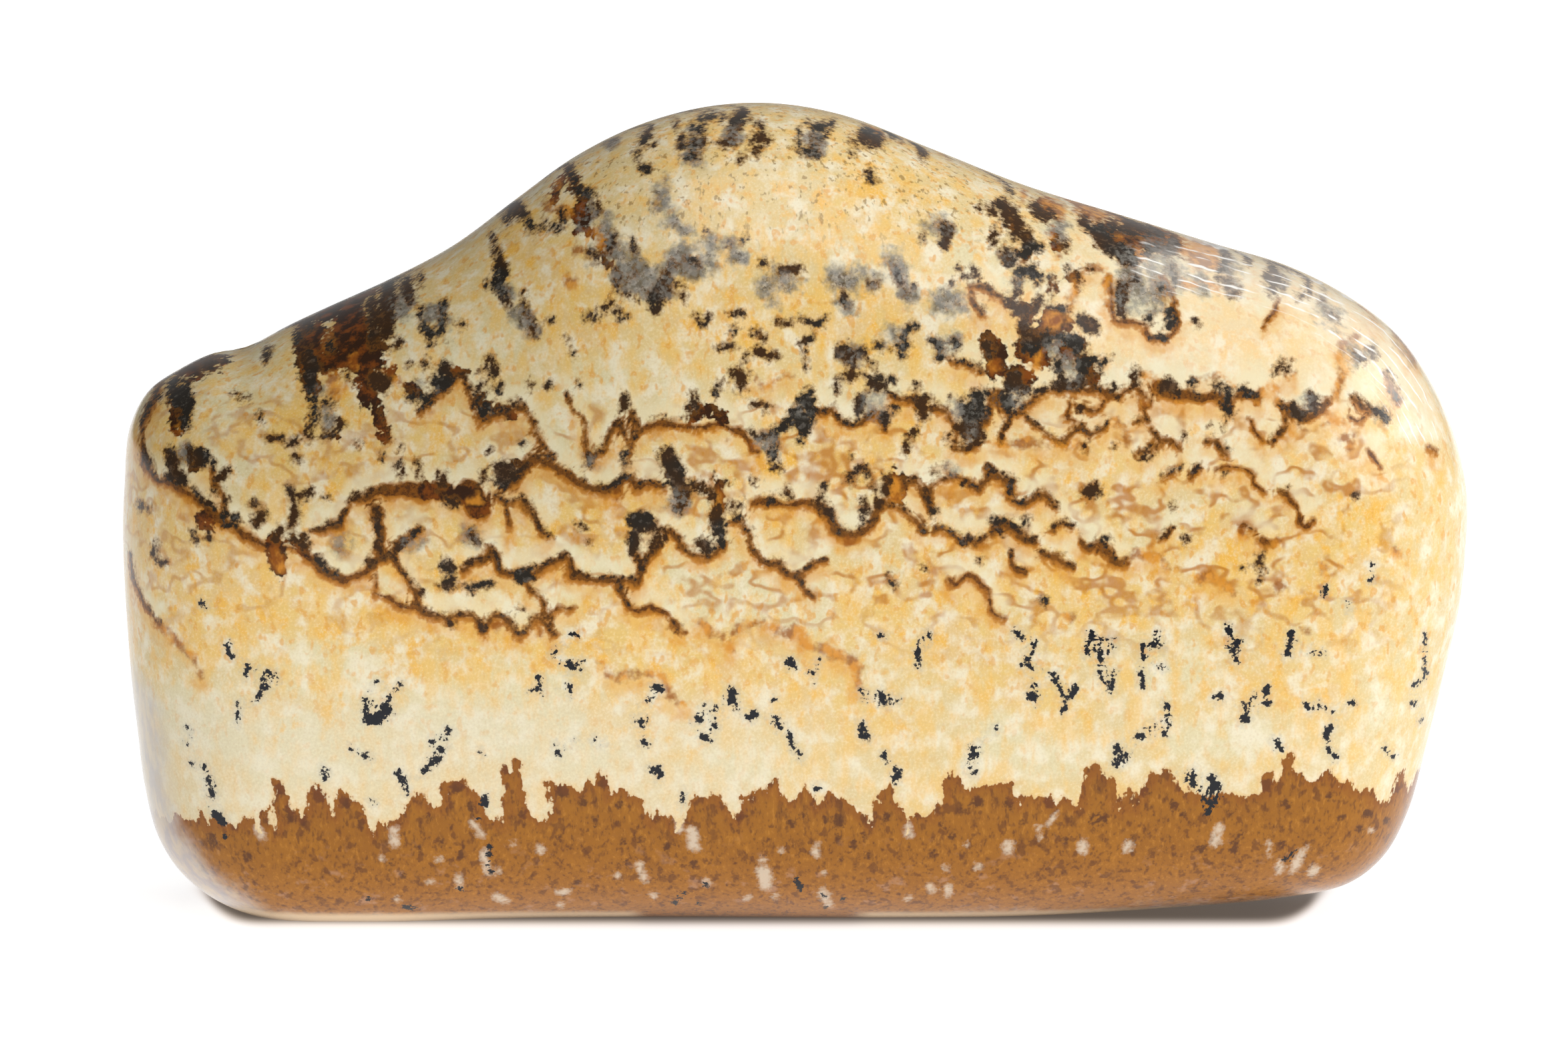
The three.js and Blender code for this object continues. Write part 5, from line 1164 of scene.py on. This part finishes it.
def band(n, base, edge):
    """The ochre band along the lower edge, with a painted whitish reflection over its ends and a painted
    reflection of the floor along the lowest edge.
    """
    glare = n.ramp(n.worn(n.field("glare"), broad=0.5, coarse=0.3), 0.7, -0.9, 0.0, 0.8)
    cloud = n.ramp(n.noise(n.upright, 1.2, 3.0, 0.6), 0.4, 0.62)
    from_gap = n.math("ABSOLUTE", n.add(n.across, 2.1))  # the lowest edge isn't pale near X = -2.1
    # painted reflection of the white floor along the lowest edge
    floor_reflection = n.times(n.ramp(n.height, 0.8, 0.35, 0.0, 0.8), n.ramp(from_gap, 4.6, 5.8))
    return n.over(
        base,
        (n.ramp(edge, -0.2, 0.0, 0.0, 0.3), rgb(222, 170, 100)),
        (n.ramp(edge, -0.035, 0.035), ochre_of_band(n, edge)),
        (glare, n.mix(cloud, rgb(222, 208, 188), rgb(196, 190, 190))),
        (floor_reflection, rgb(250, 226, 188)),
    )


def dendrites(n, base, edge):
    """Blue-black specks, each in a faint bluish haze where it lies outside the band."""
    speck = n.worn(n.line("speck"), coarse=0.12, ragged=0.24, fine=0.26)
    haze = n.times(n.ramp(speck, 0.35, 0.0), n.ramp(edge, 0.05, -0.05, 0.0, 0.3))
    return n.over(base, (haze, rgb(176, 174, 166)), (n.ramp(speck, 0.05, -0.02), rgb(14, 16, 24)))


def scratch_highlights(n, base):
    """Painted highlights: fine broken white lines that follow the rim, light caught in polishing scratches,
    over a painted sheen.
    """
    inward, along = n.field("rim"), n.times(n.field("along"), 0.25)
    groove = n.node("ShaderNodeCombineXYZ", {0: inward, 1: along}).outputs[0]
    line = n.add(n.times(inward, 21.0), n.times(n.noise(groove, 0.9, 3.0, 0.6), 16.0))
    line = n.ramp(n.math("SINE", line), 0.72, 0.96)
    pieces = n.node("ShaderNodeCombineXYZ", {0: n.times(inward, 3.3), 1: n.times(along, 2.5)}).outputs[0]
    broken = n.ramp(n.noise(pieces, 1.0, 1.0, 0.5), 0.43, 0.54, 0.0, 0.95)
    sheen_area = n.ramp(n.worn(n.field("scratch_sheen"), coarse=0.6), 0.5, -0.5)
    painted_sheen, painted_glints = n.times(sheen_area, 0.25), n.times(line, broken, sheen_area)
    return n.over(base, (painted_sheen, rgb(248, 240, 230)), (painted_glints, rgb(255, 252, 246)))


def jasper_material():
    material = bpy.data.materials.new("polished_picture_jasper")
    n = Jasper(material)
    haze = n.centred(n.other, 1.2, 3.0, 0.6)
    grey_veil = n.add(n.worn(n.field("grey_veil"), broad=0.3), n.times(haze, 0.8))
    grey_veil = n.ramp(grey_veil, 0.35, -0.3, 0.0, 0.85)
    edge = n.worn(n.field("band"), coarse=0.1, ragged=0.16, comb=0.36, fine=0.1)
    # painted shade: the upper left is darkened, as if less light reached it
    painted_shade = n.times(n.ramp(n.across, -1.0, -13.0), n.ramp(n.height, 15.0, 23.0))

    base = grey_and_veiled_patches(n, ground(n), grey_veil)
    base = brown_masses(n, veins(n, golden_net(n, base)))
    base = blotches(n, base, grey_veil)
    base = n.mix(painted_shade, base, rgb(228, 228, 226), "MULTIPLY")  # the upper left is duller
    base = dendrites(n, band(n, base, edge), edge)
    base = scratch_highlights(n, base)

    polish = n.ramp(n.noise(n.where, 5.0, 3.0, 0.6), 0.3, 0.75, 0.13, 0.24)
    pores = {"Strength": 0.25, "Distance": 0.02 * MM, "Height": n.noise(n.where, 7.0, 3.0, 0.6)}
    normal = n.node("ShaderNodeBump", pores).outputs[0]
    gloss = {"Roughness": polish, "Normal": normal, "IOR": 1.54, "Specular IOR Level": 0.3}
    shader = n.node("ShaderNodeBsdfPrincipled", {"Base Color": base, **gloss})
    n.node("ShaderNodeOutputMaterial", {"Surface": shader.outputs[0]})
    return material


mesh.materials.append(jasper_material())
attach(stone, "root")
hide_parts("jasper_stone")


# -------------------------------------------------------------------------------------------------
# Floor, light and camera, in metres
# -------------------------------------------------------------------------------------------------
FLOOR_HALF = 2.5
LIT_FLOOR = (-0.12, -0.055)  # Y over which the floor begins to shine, in front of the stone
FAR_SHINE = (0.08, 0.5, 0.0, 0.3)  # it shines more further out: over which distances, and how much
SHINE_BY_SHADOW = (0.10, 0.85)  # in the shadow and outside it
# The stone's soft shadow, painted into the floor: where along X and Y it begins and where it's full
SHADOW_X = -0.0015
SHADOW_ENDS = (0.0276, 0.0254)  # to both sides of SHADOW_X
SHADOW_FRONT = (-0.0060, -0.0012)
SHADOW_BACK = (0.012, 0.005)
FRONT_BEND = (0.0225, 0.0275)  # how far from SHADOW_X the front edge bends back towards the ends
FRONT_BEND_DEPTH = 0.0100
FAR_GREY, NEAR_GREY, SHADOW_GREY = (0.32, 0.32, 0.32, 1), (0.4, 0.4, 0.4, 1), (0.12, 0.12, 0.12, 1)
WHITE, WARM = (1, 1, 1, 1), (1.0, 0.8, 0.66, 1)

SOFTBOXES = {  # place, target, size, and radiance
    "overhead": ((0.04, -0.50, 0.62), (0.02, -0.34, 0.0), (0.44, 0.80), 2.8),
    "right": ((0.50, -0.42, 0.24), (0.0, 0.0, 0.02), (0.40, 0.34), 2.2),
    "far_right": ((0.40, 0.0, 0.26), (0.027, 0.0, 0.024), (0.26, 0.22), 3.4),
}

AIM = (-0.00051, 0.0, 0.01818)
ELEVATION = math.radians(7.0)
REACH = 0.42  # from the camera to what it aims at
SENSOR, LENS = 36.0, 207.7  # millimetres


def add_floor():
    """A white floor that glows a little, with the stone's shadow painted into it: there it glows less and
    warmer, and its own colour is darker.
    """
    h = FLOOR_HALF
    floor_mesh = bpy.data.meshes.new("floor")
    floor_mesh.from_pydata([(-h, -h, 0), (h, -h, 0), (h, h, 0), (-h, h, 0)], [], [(0, 1, 2, 3)])
    floor = bpy.data.objects.new("floor", floor_mesh)
    bpy.context.scene.collection.objects.link(floor)
    material = bpy.data.materials.new("white_table")
    n = Nodes(material)
    here = n.node("ShaderNodeTexCoord").outputs["Object"]
    away = n.node("ShaderNodeVectorMath", {0: here}, operation="LENGTH").outputs["Value"]
    x, y, _ = n.node("ShaderNodeSeparateXYZ", {0: here}).outputs
    beside = n.math("ABSOLUTE", n.add(x, -SHADOW_X))
    bend = n.ramp(beside, *FRONT_BEND)
    front = n.add(y, n.times(bend, bend, -FRONT_BEND_DEPTH))
    shadow = n.times(n.ramp(beside, *SHADOW_ENDS), n.ramp(front, *SHADOW_FRONT), n.ramp(y, *SHADOW_BACK))
    glow = n.add(n.ramp(away, *FAR_SHINE), n.ramp(shadow, 1.0, 0.0, *SHINE_BY_SHADOW))
    near = n.ramp(y, *LIT_FLOOR)
    plain = n.mix(shadow, n.mix(near, FAR_GREY, NEAR_GREY), SHADOW_GREY)
    matt = {"Base Color": plain, "Roughness": 0.6, "Specular IOR Level": 0.2}
    shine = {"Emission Color": n.mix(shadow, WHITE, WARM), "Emission Strength": n.times(glow, near)}
    shader = n.node("ShaderNodeBsdfPrincipled", {**matt, **shine})
    n.node("ShaderNodeOutputMaterial", {"Surface": shader.outputs[0]})
    floor_mesh.materials.append(material)


def add_softbox(name, place, target, size, radiance):
    """A rectangular softbox that faces target, as bright per area as radiance says."""
    data = bpy.data.lights.new(name, "AREA")
    data.shape = "RECTANGLE"
    data.size, data.size_y = size
    data.energy = radiance * math.pi * size[0] * size[1]
    light = bpy.data.objects.new(name, data)
    light.location = place
    light.rotation_euler = Vector(np.subtract(target, place)).to_track_quat("-Z", "Y").to_euler()
    bpy.context.scene.collection.objects.link(light)


def add_world():
    """Soft light from all round, stronger from the front and the right."""
    world = bpy.data.worlds.new("studio")
    bpy.context.scene.world = world
    n = Nodes(world)
    x, y, _ = n.node("ShaderNodeSeparateXYZ", {0: n.node("ShaderNodeTexCoord").outputs["Generated"]}).outputs
    light = n.add(n.ramp(y, -0.35, 0.35, 0.3, 0.2), n.ramp(x, -0.9, 0.9, -0.1, 0.2))
    background = n.node("ShaderNodeBackground", {"Color": WHITE, "Strength": light})
    n.node("ShaderNodeOutputWorld", {"Surface": background.outputs[0]})


def add_camera():
    data = bpy.data.cameras.new("camera")
    data.sensor_width, data.lens = SENSOR, LENS
    data.clip_start, data.clip_end = 0.01, 20
    camera = bpy.data.objects.new("camera", data)
    camera.location = (AIM[0], -REACH * math.cos(ELEVATION), AIM[2] + REACH * math.sin(ELEVATION))
    camera.rotation_euler = (math.pi / 2 - ELEVATION, 0, 0)
    bpy.context.scene.collection.objects.link(camera)
    bpy.context.scene.camera = camera


add_floor()
for name, softbox in SOFTBOXES.items():
    add_softbox(name, *softbox)
add_world()
add_camera()
bpy.context.scene.view_settings.view_transform = "Standard"
